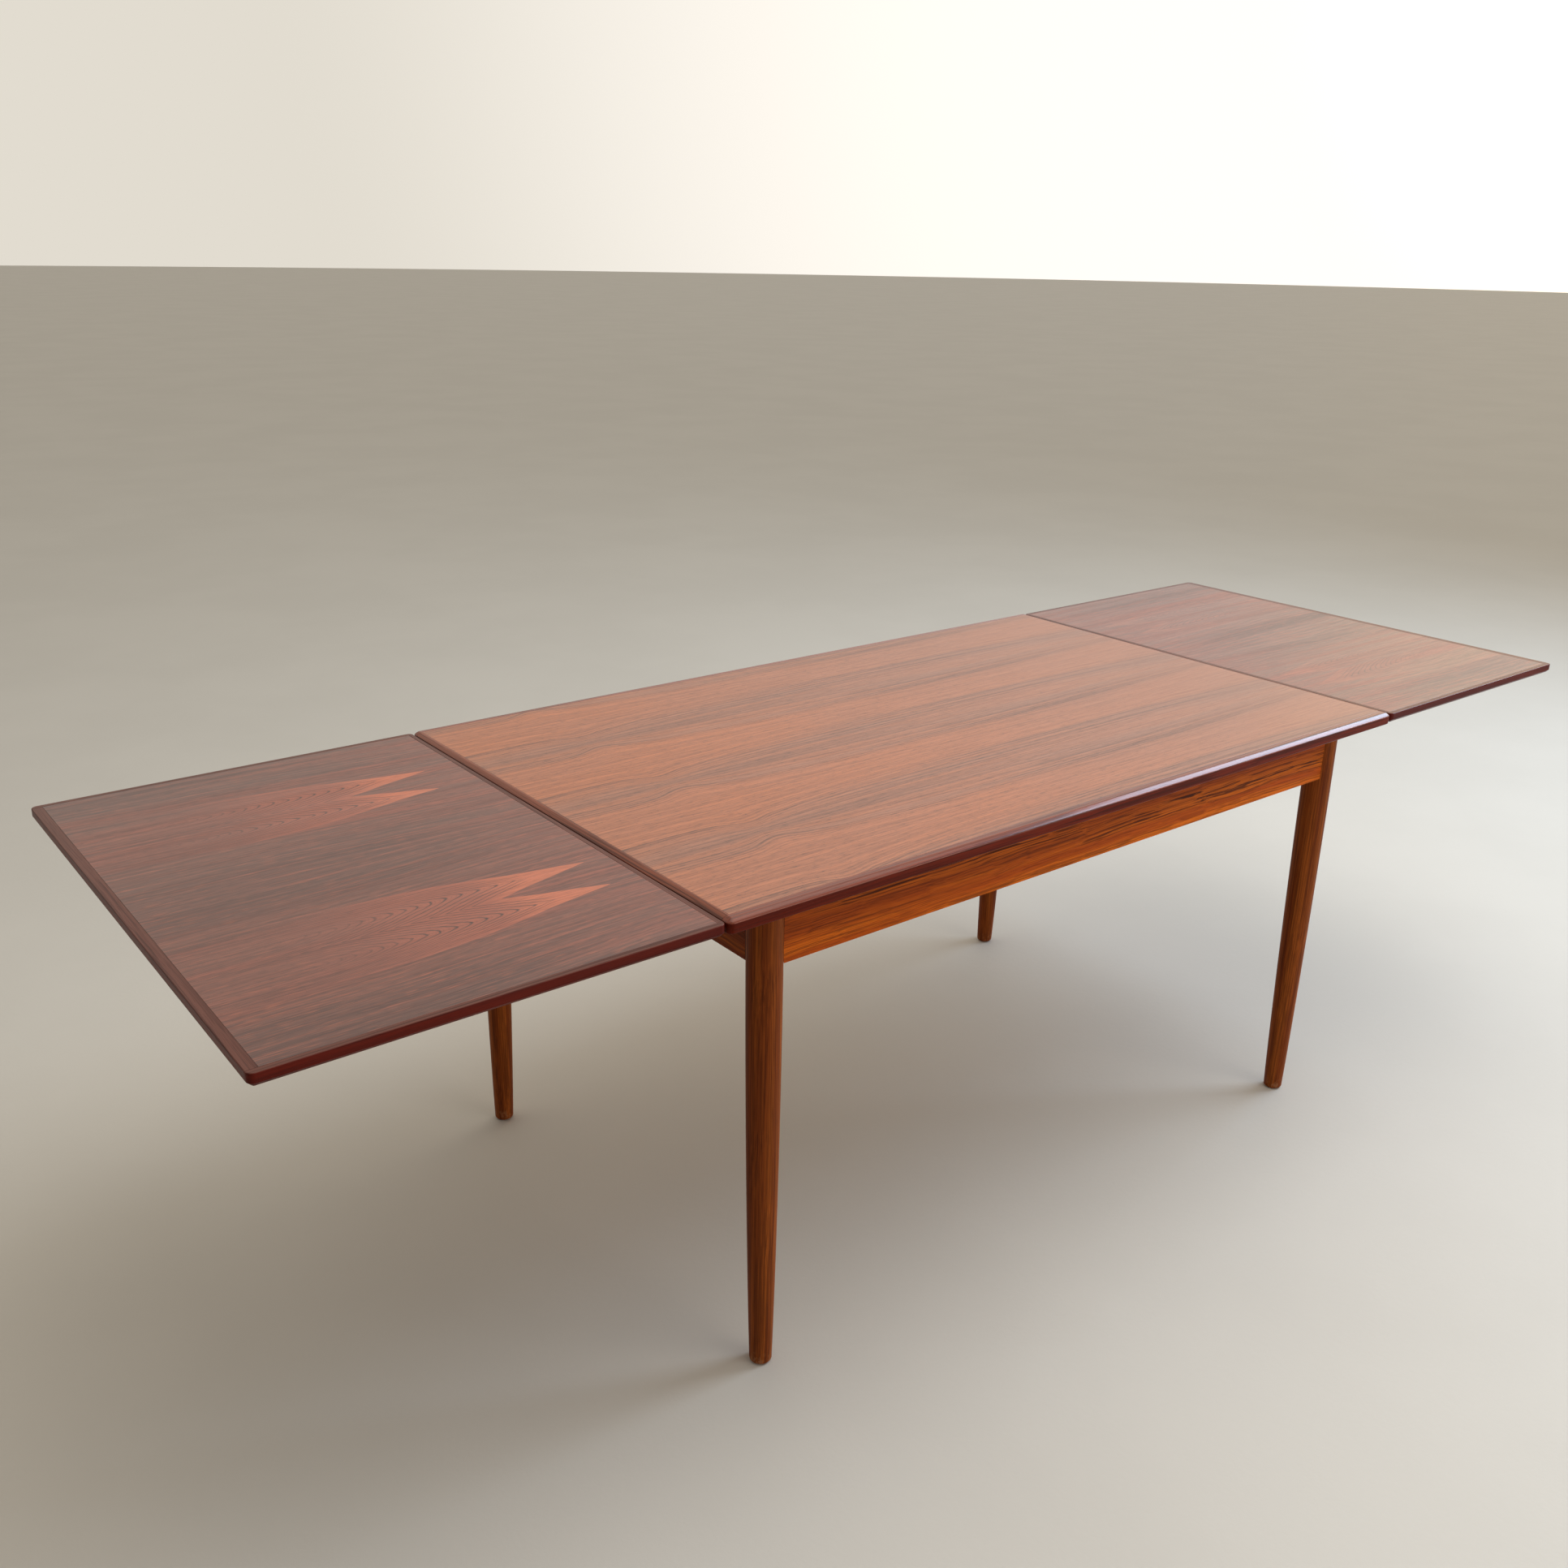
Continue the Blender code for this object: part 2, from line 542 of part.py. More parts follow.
def build_leaf(side, sx, run):
    """One leaf with its two slides, their screws and their stop pegs."""
    body = empty(side + "_leaf_slide", (sx * LEAF_INNER_X, 0, LEAF_UNDER))
    low, high = sorted((sx * LEAF_INNER_X, sx * LEAF_OUTER_X))
    ends = (LEAF_END_LIPPING, LEAF_INNER_LIPPING) if sx < 0 else (LEAF_INNER_LIPPING, LEAF_END_LIPPING)
    half = LEAF_WIDTH / 2
    prefix = side + "_leaf"
    made = edged_board(prefix, body, low, high, -half, half, LEAF_UNDER, LEAF_TOP, LEAF_LIPPING, ends,
                       "leaf_veneer", (LEAF_EDGE_RADIUS, 2), (LEAF_UNDERCUT, 1))

    shape = slide_outline(sx)
    screw = turned_mesh(prefix + "_screw", screw_profile(SLIDE_SCREW_LENGTH), SMALL_ROUND)
    sink = turned_mesh(prefix + "_screw_room", slide_screw_room(), SMALL_ROUND)
    peg_x = APRON_BACK_X - OVERTRAVEL - PEG_RADIUS
    peg_z = FRAME_TOP - PEG_DROP
    for name, sy in (("front", -1), ("back", 1)):
        slide = add(f"{prefix}_slide_{name}", outline_mesh("slide", shape, SLIDE_WIDTH), "beech",
                    (0, sy * run, 0), body)
        # each peg is on the side of its slide that faces away from the other leaf's slide
        away = sy if run == max(LEFT_SLIDE_Y, RIGHT_SLIDE_Y) else -sy
        inside = SLIDE_WIDTH * 0.6
        length = PEG_REACH + inside
        face = sy * run + away * SLIDE_WIDTH / 2
        peg_at = (sx * peg_x, face + away * (PEG_REACH - inside) / 2, peg_z)
        peg = add(f"{prefix}_stop_peg_{name}", rod_mesh("stop_peg", PEG_RADIUS, length), "beech", peg_at, body)
        peg.rotation_euler = (math.radians(90), 0, 0)
        socket = add_cutter(f"{prefix}_peg_hole_{name}",
                            rod_mesh("peg_hole", PEG_RADIUS + FIT, length + 2 * FIT), peg_at)
        socket.rotation_euler = (math.radians(90), 0, 0)
        cut(slide, socket)
        for number, along in enumerate(SLIDE_SCREWS_AT, 1):
            x = sx * (LEAF_OUTER_X - SLIDE_OUTER_INSET - along)
            at = (x, sy * run, LEAF_UNDER + SCREW_INTO_LEAF - SLIDE_SCREW_LENGTH)
            place = add(f"{prefix}_screw_{name}_{number}", screw, "steel", at, body)
            place.rotation_euler = (math.radians(180), 0, 0)
            room = add_cutter(f"{prefix}_screw_hole_{name}_{number}", sink, at)
            room.rotation_euler = (math.radians(180), 0, 0)
            cut(slide, room)
            cut(made["panel"], room)


def slide_screw_room():
    """(radius, height) of the counterbored hole for a slide screw, head end up."""
    shank, head = SCREW_RADIUS + FIT, SCREW_HEAD_RADIUS + FIT
    return [(0, 0.08), (head, 0.08), (head, -FIT - FIT), (shank, -2 * FIT - SCREW_HEAD_HEIGHT),
            (shank, -SLIDE_SCREW_LENGTH - FIT), (0, -SLIDE_SCREW_LENGTH - FIT)]


PARTS, CUTTERS = clear_scene()
build_frame()
build_centre_top()
build_leaf("left", -1, LEFT_SLIDE_Y)
build_leaf("right", 1, RIGHT_SLIDE_Y)
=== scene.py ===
"""Looks for the draw-leaf dining table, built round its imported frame.

X runs along the table, Y from front to back and Z up, in metres, as in the frame. Places are taken
from the frame's own boxes. Each finish is made of procedural nodes that read a piece's own
coordinates, so that the grain stays on its piece when a leaf slides or the centre top is lifted.
"""
from __future__ import annotations

import logging
import math
from dataclasses import dataclass
from enum import Enum
from typing import Callable, Iterable, Sequence, Union

import bmesh
import bpy
from mathutils import Matrix, Vector


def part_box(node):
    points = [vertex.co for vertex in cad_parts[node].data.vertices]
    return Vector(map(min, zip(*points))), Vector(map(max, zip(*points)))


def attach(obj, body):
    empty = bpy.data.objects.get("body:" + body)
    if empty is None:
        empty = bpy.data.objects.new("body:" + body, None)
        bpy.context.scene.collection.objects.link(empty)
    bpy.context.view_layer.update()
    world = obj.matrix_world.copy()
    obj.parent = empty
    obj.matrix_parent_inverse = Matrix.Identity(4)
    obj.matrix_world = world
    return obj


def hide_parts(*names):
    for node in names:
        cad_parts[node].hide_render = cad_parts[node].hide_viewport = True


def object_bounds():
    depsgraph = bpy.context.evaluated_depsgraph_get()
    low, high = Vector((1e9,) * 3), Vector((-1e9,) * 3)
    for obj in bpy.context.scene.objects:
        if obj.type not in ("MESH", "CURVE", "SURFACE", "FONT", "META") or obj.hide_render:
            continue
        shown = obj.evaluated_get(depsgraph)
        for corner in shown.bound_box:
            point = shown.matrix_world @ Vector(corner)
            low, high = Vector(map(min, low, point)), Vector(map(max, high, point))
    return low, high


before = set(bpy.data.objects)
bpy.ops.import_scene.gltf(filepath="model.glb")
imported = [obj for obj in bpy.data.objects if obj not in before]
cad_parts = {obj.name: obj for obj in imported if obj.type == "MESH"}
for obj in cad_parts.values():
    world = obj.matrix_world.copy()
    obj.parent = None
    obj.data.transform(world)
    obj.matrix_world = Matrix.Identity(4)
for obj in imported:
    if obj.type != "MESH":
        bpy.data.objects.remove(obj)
cad_low, cad_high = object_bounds()

LOG = logging.getLogger("draw_leaf_table")
Colour = tuple[float, float, float]
Feed = Union[float, "Term", bpy.types.NodeSocket]
Paint = Union[Colour, bpy.types.NodeSocket]
Way = tuple[float, float, float]

# painted shadow in the gap where an apron meets a leg
JOINT_SHADOW: Colour = (0.006, 0.003, 0.002)
COAT_DULLNESS = 0.16
RELIEF_STRENGTH = 0.6
VENEER_RELIEF = 0.00010
GRAIN_RELIEF = 0.00014
VENEER_COAT = 0.25
WOOD_SHINE = 0.06
SHARP_TURN = math.radians(38)
EASED_TURN = math.radians(32)
FLAT = 0.99
UPRIGHT = 0.01
NEAR = 0.00001
TRUE_ROUND = 0.5
CORNER_STEPS = 12
CROWN_DEPTH = 0.0052
# heights where the aprons' streaks grow and the painted shade under the top sets in
PLAIN_BAND = (0.636, 0.672)
FLOOR_DROP = 0.0005


def tint(red: int, green: int, blue: int) -> Colour:
    """A colour as a shader takes it, from the 0 to 255 numbers of a paint chart.

    Args:
        red: the red share.
        green: the green share.
        blue: the blue share.

    Returns:
        The three linear shares.
    """
    def linear(value: float) -> float:
        """One share, without the display curve."""
        share = value / 255
        return share / 12.92 if share <= 0.04045 else ((share + 0.055) / 1.055) ** 2.4

    return linear(red), linear(green), linear(blue)


class Axis(Enum):
    """The axes of the frame."""

    X = 0
    Y = 1
    Z = 2


class Side(Enum):
    """The two ends of the table, as the sign of X."""

    LEFT = -1
    RIGHT = 1


class Edge(Enum):
    """The two long sides of the table, as the sign of Y."""

    FRONT = -1
    BACK = 1


# --------------------------------------------------------------------------------------- node bench
class Term:
    """A number inside a material, which ordinary arithmetic signs join to others."""

    def __init__(self, bench: "Bench", socket: bpy.types.NodeSocket) -> None:
        """Wraps a socket of a bench's material."""
        self.bench = bench
        self.socket = socket

    def _math(self, operation: str, *others: Feed) -> "Term":
        """A maths node fed by this term and the others."""
        return self.bench.math(operation, self, *others)

    def __add__(self, other: Feed) -> "Term":
        """The sum."""
        return self._math("ADD", other)

    __radd__ = __add__

    def __sub__(self, other: Feed) -> "Term":
        """The difference."""
        return self._math("SUBTRACT", other)

    def __rsub__(self, other: Feed) -> "Term":
        """The difference from a plain number."""
        return self.bench.math("SUBTRACT", other, self)

    def __mul__(self, other: Feed) -> "Term":
        """The product."""
        return self._math("MULTIPLY", other)

    __rmul__ = __mul__

    def __truediv__(self, other: Feed) -> "Term":
        """The quotient."""
        return self._math("DIVIDE", other)

    def __abs__(self) -> "Term":
        """The size, without its sign."""
        return self._math("ABSOLUTE")

    def least(self, other: Feed) -> "Term":
        """The smaller of the two."""
        return self._math("MINIMUM", other)

    def most(self, other: Feed) -> "Term":
        """The larger of the two."""
        return self._math("MAXIMUM", other)

    def sign(self) -> "Term":
        """Minus one, nought or one."""
        return self._math("SIGN")

    def root(self) -> "Term":
        """The square root."""
        return self._math("SQRT")

    def log(self) -> "Term":
        """The natural logarithm."""
        return self._math("LOGARITHM", math.e)

    def fraction(self) -> "Term":
        """What is left above the whole number."""
        return self._math("FRACT")

    def wrap(self, low: float, high: float) -> "Term":
        """The value folded into the stretch from low to high."""
        return self._math("WRAP", high, low)

    def smooth(self, low: float, high: float) -> "Term":
        """A soft step.

        Args:
            low: where it leaves 0.
            high: where it reaches 1.

        Returns:
            The step, from 0 to 1.
        """
        made = self.bench.node("ShaderNodeMapRange", interpolation_type="SMOOTHSTEP")
        self.bench.plug(made.inputs["Value"], self)
        made.inputs["From Min"].default_value = low
        made.inputs["From Max"].default_value = high
        return Term(self.bench, made.outputs["Result"])


class Bench:
    """Where the nodes of one material are laid out."""

    def __init__(self, name: str) -> None:
        """Starts a material that holds a shader, its output and the piece's own coordinates.

        Args:
            name: what the material is called.
        """
        self.material = bpy.data.materials.new(name)
        self.material.use_nodes = True
        self.tree = self.material.node_tree
        self.tree.nodes.clear()
        self.shader = self.node("ShaderNodeBsdfPrincipled")
        output = self.node("ShaderNodeOutputMaterial")
        self.tree.links.new(self.shader.outputs["BSDF"], output.inputs["Surface"])
        place = self.node("ShaderNodeTexCoord").outputs["Object"]
        split = self.node("ShaderNodeSeparateXYZ")
        self.tree.links.new(place, split.inputs[0])
        self.x, self.y, self.z = (Term(self, split.outputs[n]) for n in range(3))

    def node(self, kind: str, **settings: object) -> bpy.types.Node:
        """A new node with its settings.

        Args:
            kind: the type of the node.
            settings: what is set on it.

        Returns:
            The node.
        """
        made = self.tree.nodes.new(kind)
        for name, value in settings.items():
            setattr(made, name, value)
        return made

    def plug(self, socket: bpy.types.NodeSocket, feed: Union[Feed, Paint]) -> None:
        """Links a term or socket to a socket, or sets a constant on it.

        Args:
            socket: what is fed.
            feed: a term, a socket, a number or a colour.
        """
        if isinstance(feed, Term):
            feed = feed.socket
        if isinstance(feed, bpy.types.NodeSocket):
            self.tree.links.new(feed, socket)
        elif isinstance(feed, tuple):
            socket.default_value = (*feed, 1.0)
        else:
            socket.default_value = feed

    def math(self, operation: str, *feeds: Feed) -> Term:
        """A maths node and its feeds, as a term.

        Args:
            operation: what it works out.
            feeds: what goes in, in order.

        Returns:
            What comes out.
        """
        made = self.node("ShaderNodeMath", operation=operation)
        for socket, feed in zip(made.inputs, feeds):
            self.plug(socket, feed)
        return Term(self, made.outputs[0])

    def along(self, axis: Axis) -> Term:
        """The coordinate along an axis."""
        return (self.x, self.y, self.z)[axis.value]

    def above(self, level: float, blur: float = 0.001) -> Term:
        """1 above a level and 0 below it."""
        return self.z.smooth(level - blur, level + blur)

    def noise(self, x: Feed, y: Feed, z: Feed = 0.0, detail: float = 2.0,
              rough: float = 0.5) -> Term:
        """Noise of scale 1 at a place, so that each coordinate carries its own scale.

        Args:
            x: the first coordinate.
            y: the second.
            z: the third.
            detail: how many finer layers it has.
            rough: how strong they are.

        Returns:
            The noise, from about 0.2 to 0.8, with its middle at 0.5.
        """
        place = self.node("ShaderNodeCombineXYZ")
        for socket, feed in zip(place.inputs, (x, y, z)):
            self.plug(socket, feed)
        made = self.node("ShaderNodeTexNoise")
        self.tree.links.new(place.outputs[0], made.inputs["Vector"])
        for name, value in (("Scale", 1.0), ("Detail", detail), ("Roughness", rough)):
            made.inputs[name].default_value = value
        return Term(self, made.outputs["Fac"])

    def streaks(self, first: Term, second: Term, kind: "Streaks") -> Term:
        """One layer of streaks.

        Args:
            first: the first coordinate.
            second: the second.
            kind: how the layer looks.

        Returns:
            The layer, from 0 to 1.
        """
        return self.noise(first * kind.first, second * kind.second, kind.seed, kind.detail,
                          kind.rough).smooth(kind.low, kind.high)

    def curve(self, at: Term, points: Sequence[tuple[float, float]]) -> Term:
        """A smooth curve through points.

        Args:
            at: where it is read, from 0 to 1.
            points: pairs of place and height, both from 0 to 1.

        Returns:
            The height.
        """
        made = self.node("ShaderNodeValToRGB")
        ramp = made.color_ramp
        ramp.interpolation = "CARDINAL"
        while len(ramp.elements) < len(points):
            ramp.elements.new(1.0)
        for stop, (place, height) in zip(ramp.elements, points):
            stop.position = place
            stop.color = (height, height, height, 1.0)
        self.plug(made.inputs[0], at)
        return Term(self, made.outputs[0])

    def mix(self, share: Feed, first: Paint, second: Paint) -> bpy.types.NodeSocket:
        """Two colours mixed.

        Args:
            share: how much of the second shows.
            first: the colour at 0.
            second: the colour at 1.

        Returns:
            The mixed colour.
        """
        made = self.node("ShaderNodeMix", data_type="RGBA", clamp_factor=True)
        self.plug(made.inputs[0], share)
        self.plug(made.inputs[6], first)
        self.plug(made.inputs[7], second)
        return made.outputs[2]

    def pores(self, along: Term, across: Term, other: Term, length: float = 0.03,
              per_metre: float = 900.0) -> Term:
        """The short open pores of the wood.

        Args:
            along: the coordinate along the grain.
            across: a coordinate across it.
            other: the other one.
            length: how long a pore is.
            per_metre: how close together they lie.

        Returns:
            1 in a pore and 0 between them.
        """
        streak = self.noise(along * (1 / length), across * per_metre, other * per_metre, 1.0)
        return streak.smooth(0.56, 0.72)

    def finish(self, colour: Paint, rough: Feed, height: Term, depth: float,
               coat: Feed = 0.0, shine: float = 0.5) -> bpy.types.Material:
        """Feeds the shader.

        Args:
            colour: the colour of the surface.
            rough: how dull it is.
            height: the relief, from 0 to 1.
            depth: how deep the relief is.
            coat: how much clear finish lies over it.
            shine: how strongly the surface itself mirrors.

        Returns:
            The finished material.
        """
        self.shader.inputs["Specular IOR Level"].default_value = shine
        self.plug(self.shader.inputs["Base Color"], colour)
        self.plug(self.shader.inputs["Roughness"], rough)
        self.plug(self.shader.inputs["Coat Weight"], coat)
        self.shader.inputs["Coat Roughness"].default_value = COAT_DULLNESS
        bump = self.node("ShaderNodeBump")
        bump.inputs["Strength"].default_value = RELIEF_STRENGTH
        bump.inputs["Distance"].default_value = depth
        self.plug(bump.inputs["Height"], height)
        self.tree.links.new(bump.outputs["Normal"], self.shader.inputs["Normal"])
        return self.material


# ----------------------------------------------------------------------------------------- finishes
@dataclass(frozen=True)
class Streaks:
    """One layer of streaks: its two scales, its seed and grain, where it shows and how strongly."""

    first: float
    second: float
    seed: float
    detail: float
    rough: float
    low: float
    high: float
    share: float = 1.0


@dataclass(frozen=True)
class TopVeneer:
    """The slip-matched veneer of the centre top: sheets side by side with the same pinched figure.

    The underside, below the level, has a plain sheet. Towards the right it is greyer and its figure
    weaker: painted reflection haze.
    """

    level: float
    sheet: float = 0.224
    shift: float = 0.0026
    drift: float = 0.007
    start: float = -0.72
    length: float = 1.44
    pinch: float = 0.05
    waist_unit: float = 0.1
    underside: float = 0.35
    waist: tuple[tuple[float, float], ...] = (
        (0.0, 0.42), (0.083, 0.45), (0.118, 0.40), (0.147, 0.26), (0.176, 0.36), (0.215, 0.46),
        (0.28, 0.545), (0.43, 0.60), (0.70, 0.60), (0.85, 0.54), (1.0, 0.46))
    strength: tuple[tuple[float, float], ...] = (
        (0.0, 0.66), (0.20, 0.60), (0.36, 1.0), (0.50, 0.98), (0.58, 0.56), (0.75, 0.42),
        (1.0, 0.50))
    bands: Streaks = Streaks(125.0, 0.7, 3.0, 1.0, 0.5, 0.45, 0.60, 0.30)
    strands: Streaks = Streaks(250.0, 1.5, 6.0, 2.0, 0.6, 0.46, 0.58, 0.30)
    fine: Streaks = Streaks(560.0, 11.0, 9.0, 2.0, 0.6, 0.42, 0.60, 0.17)
    dashes: Streaks = Streaks(52.0, 430.0, 3.0, 1.0, 0.5, 0.52, 0.66, 0.24)
    specks: Streaks = Streaks(160.0, 520.0, 21.0, 0.0, 0.5, 0.72, 0.78, 0.35)
    broad: Streaks = Streaks(42.0, 1.1, 5.0, 2.0, 0.5, 0.34, 0.66, 0.38)
    greyed: float = 0.10
    # painted reflection haze: towards the right the top turns greyer and its figure calmer
    right_painted_haze: float = 0.46
    right_haze_calmed: float = 0.45
    pale: Colour = tint(181, 108, 71)
    warm: Colour = tint(186, 105, 59)
    grey: Colour = tint(131, 95, 79)
    line: Colour = tint(72, 40, 30)

    def make(self, name: str) -> bpy.types.Material:
        """The material.

        Args:
            name: what it is called.

        Returns:
            The material.
        """
        b = Bench(name)
        half = self.sheet / 2
        drift = b.noise(b.x * 2.3, b.y * 9.0, 0.0, 2.0) - 0.5
        v = (b.y + self.shift + drift * self.drift).wrap(-half, half)
        waist = b.curve((b.x - self.start) / self.length, self.waist) * self.waist_unit
        out = abs(v)
        inner = (out / waist).least(1.0) * self.pinch
        outer = (out - waist).most(0.0) / (half - waist) * (half - self.pinch)
        lateral = (inner + outer) * v.sign()
        share = abs(lateral) / half
        upper = b.above(self.level)
        amount = b.curve(share, self.strength) * (self.underside + (1 - self.underside) * upper)
        bands = b.streaks(lateral, b.x, self.bands)
        strands = b.streaks(lateral, b.x, self.strands)
        fine = b.streaks(lateral, b.x, self.fine)
        dashes = b.streaks(b.x, b.y, self.dashes)
        specks = b.streaks(b.x, b.y, self.specks)
        broad = b.streaks(lateral, b.x, self.broad)
        cloud = b.noise(b.x * 2.6, b.y * 5.0, 1.0, 2.0)
        pores = b.pores(b.x, b.y, b.z)
        inside = upper * (1.0 - share.smooth(0.38, 0.60))
        ground = b.mix(cloud.smooth(0.35, 0.68), self.warm, self.pale)
        ground = b.mix(inside * (self.greyed + broad * self.broad.share), ground, self.grey)
        # painted reflection haze: greyer towards the right
        ground = b.mix(b.x.smooth(-0.55, 0.65) * self.right_painted_haze, ground, self.grey)
        dark = (amount * (bands * self.bands.share + strands * self.strands.share)
                + fine * self.fine.share + dashes * self.dashes.share + specks * self.specks.share)
        # painted reflection haze: the figure weaker towards the right
        painted_haze_calm = 1.0 - b.x.smooth(-0.1, 0.7) * self.right_haze_calmed
        ground = b.mix(dark * painted_haze_calm, ground, self.line)
        rough = 0.36 + 0.10 * cloud + 0.05 * fine
        relief = 1.0 - pores * 0.8 - fine * 0.2
        return b.finish(ground, rough, relief, VENEER_RELIEF, VENEER_COAT)


@dataclass(frozen=True)
class LeafVeneer:
    """The book-matched veneer of a leaf: pairs of pointed flames whose tips face the centre top.

    The underside, below the level, has a plain sheet. On the right leaf the flame figure and the
    grain are weaker: painted reflection haze.
    """

    level: float
    fold: float = 0.2155
    axis: float = 0.039
    tip: float = 0.765
    tip_back: float = 0.006
    tip_uneven: float = 0.010
    slant: float = 0.04
    slant_uneven: float = 0.145
    outward: float = 0.050
    inward: float = 0.076
    reach: float = 0.27
    ring: tuple[float, float, float] = (34.0, 40.0, 0.7)
    streaks: Streaks = Streaks(2.0, 190.0, 2.0, 3.0, 0.6, 0.43, 0.59, 0.42)
    lights: Streaks = Streaks(2.6, 200.0, 8.0, 3.0, 0.6, 0.49, 0.61, 0.42)
    broad: Streaks = Streaks(1.3, 30.0, 7.0, 2.0, 0.5, 0.34, 0.68)
    fine: Streaks = Streaks(13.0, 540.0, 11.0, 2.0, 0.6, 0.42, 0.60, 0.20)
    dashes: Streaks = Streaks(58.0, 400.0, 3.0, 1.0, 0.5, 0.50, 0.64, 0.24)
    glints: Streaks = Streaks(30.0, 560.0, 17.0, 1.0, 0.5, 0.58, 0.68, 0.24)
    # painted reflection haze on the right leaf: weaker flame figure and calmer grain
    right_haze_veil: float = 0.78
    right_haze_calmed: float = 0.4
    pale: Colour = tint(198, 106, 71)
    arch: Colour = tint(164, 86, 62)
    red: Colour = tint(137, 76, 60)
    brown: Colour = tint(119, 70, 56)
    dusk: Colour = tint(87, 60, 53)
    line: Colour = tint(58, 32, 28)

    def make(self, name: str) -> bpy.types.Material:
        """The material.

        Args:
            name: what it is called.

        Returns:
            The material.
        """
        b = Bench(name)
        far = abs(b.x)
        slow = b.noise(b.x * 5.0, b.y * 16.0, 0.0, 2.0) - 0.5
        quick = b.noise(b.x * 30.0, b.y * 80.0, 4.0, 2.0) - 0.5
        across = abs(b.y) - self.fold
        fold = abs(across)
        t = fold - self.axis + slow * 0.005
        beyond = t.sign().most(0.0)
        width = self.inward + beyond * (self.outward - self.inward)
        blunt = ((far - 0.85) * 0.10).most(0.0006).least(0.011)
        eased = (t * t + blunt * blunt).root() - blunt
        ratio = (eased / width).least(0.985)
        run = ((1.0 + ratio) / (1.0 - ratio)).log() * (self.reach / 2)
        within = (far - 0.90).most(0.0).least(0.08) * 12.0
        askew = (self.tip_back - across * self.slant
                 + b.y.sign() * (self.tip_uneven - across * self.slant_uneven))
        depth = far - run - (self.tip + askew) + slow * 0.010 + quick * within * 0.014
        upper = b.above(self.level)
        # painted reflection haze: the right leaf's flames and grain are weaker
        right = b.x.sign().most(0.0)
        painted_haze_calm = 1.0 - right * self.right_haze_calmed
        opening = upper * (1.0 - far.smooth(1.02, 1.24) * 0.85) * (1.0 - right * self.right_haze_veil)
        inside = depth.smooth(-0.001, 0.003) * opening
        first, second, wander = self.ring
        rings = depth * first + depth * depth * second + slow * wander
        peak = abs(rings.fraction() - 0.5) * 2.0
        thin = abs((rings * 3.0 + quick).fraction() - 0.5) * 2.0
        begun = depth.smooth(0.022, 0.060) * far.smooth(0.83, 0.87)
        faded = 1.0 - depth.smooth(0.20, 0.42) * 0.85
        lines = peak.smooth(0.60, 0.97) * 0.72 + thin.smooth(0.5, 1.0) * 0.22
        contour = upper * begun * faded * lines
        spread = (t / self.outward).most(0.0).least(1.0)
        past_tip = (far - self.tip).most(0.0).least(0.3)
        bent = b.y - b.y.sign() * spread * past_tip * 0.05 + slow * 0.006
        streaks, lights, broad, fine, dashes, glints = (
            b.streaks(b.x, bent, kind) for kind in
            (self.streaks, self.lights, self.broad, self.fine, self.dashes, self.glints))
        pores = b.pores(b.x, b.y, b.z, 0.022)
        away = fold.smooth(0.085, 0.150) * far.smooth(0.70, 0.98)
        ground = b.mix(broad, self.brown, self.red)
        ground = b.mix(away * (0.40 + 0.45 * broad), ground, self.dusk)
        ground = b.mix(lights * self.lights.share * (1.0 - inside), ground, self.arch)
        flame = b.mix(far.smooth(0.85, 0.93), self.pale, self.arch)
        flame = b.mix(far.smooth(0.95, 1.12) * 0.8, flame, self.red)
        ground = b.mix(inside, ground, flame)
        outside = 1.0 - inside * 0.65
        ground = b.mix((streaks * outside * self.streaks.share + contour) * painted_haze_calm, ground, self.line)
        grain = (fine * self.fine.share + dashes * self.dashes.share) * (1.0 - inside * 0.4)
        ground = b.mix(grain * painted_haze_calm + pores * 0.10, ground, self.line)
        ground = b.mix(glints * self.glints.share * (1.0 - inside * 0.5), ground, self.pale)
        rough = 0.35 + 0.08 * broad + 0.05 * fine
        relief = 1.0 - pores * 0.7 - fine * 0.3
        return b.finish(ground, rough, relief, VENEER_RELIEF, VENEER_COAT)


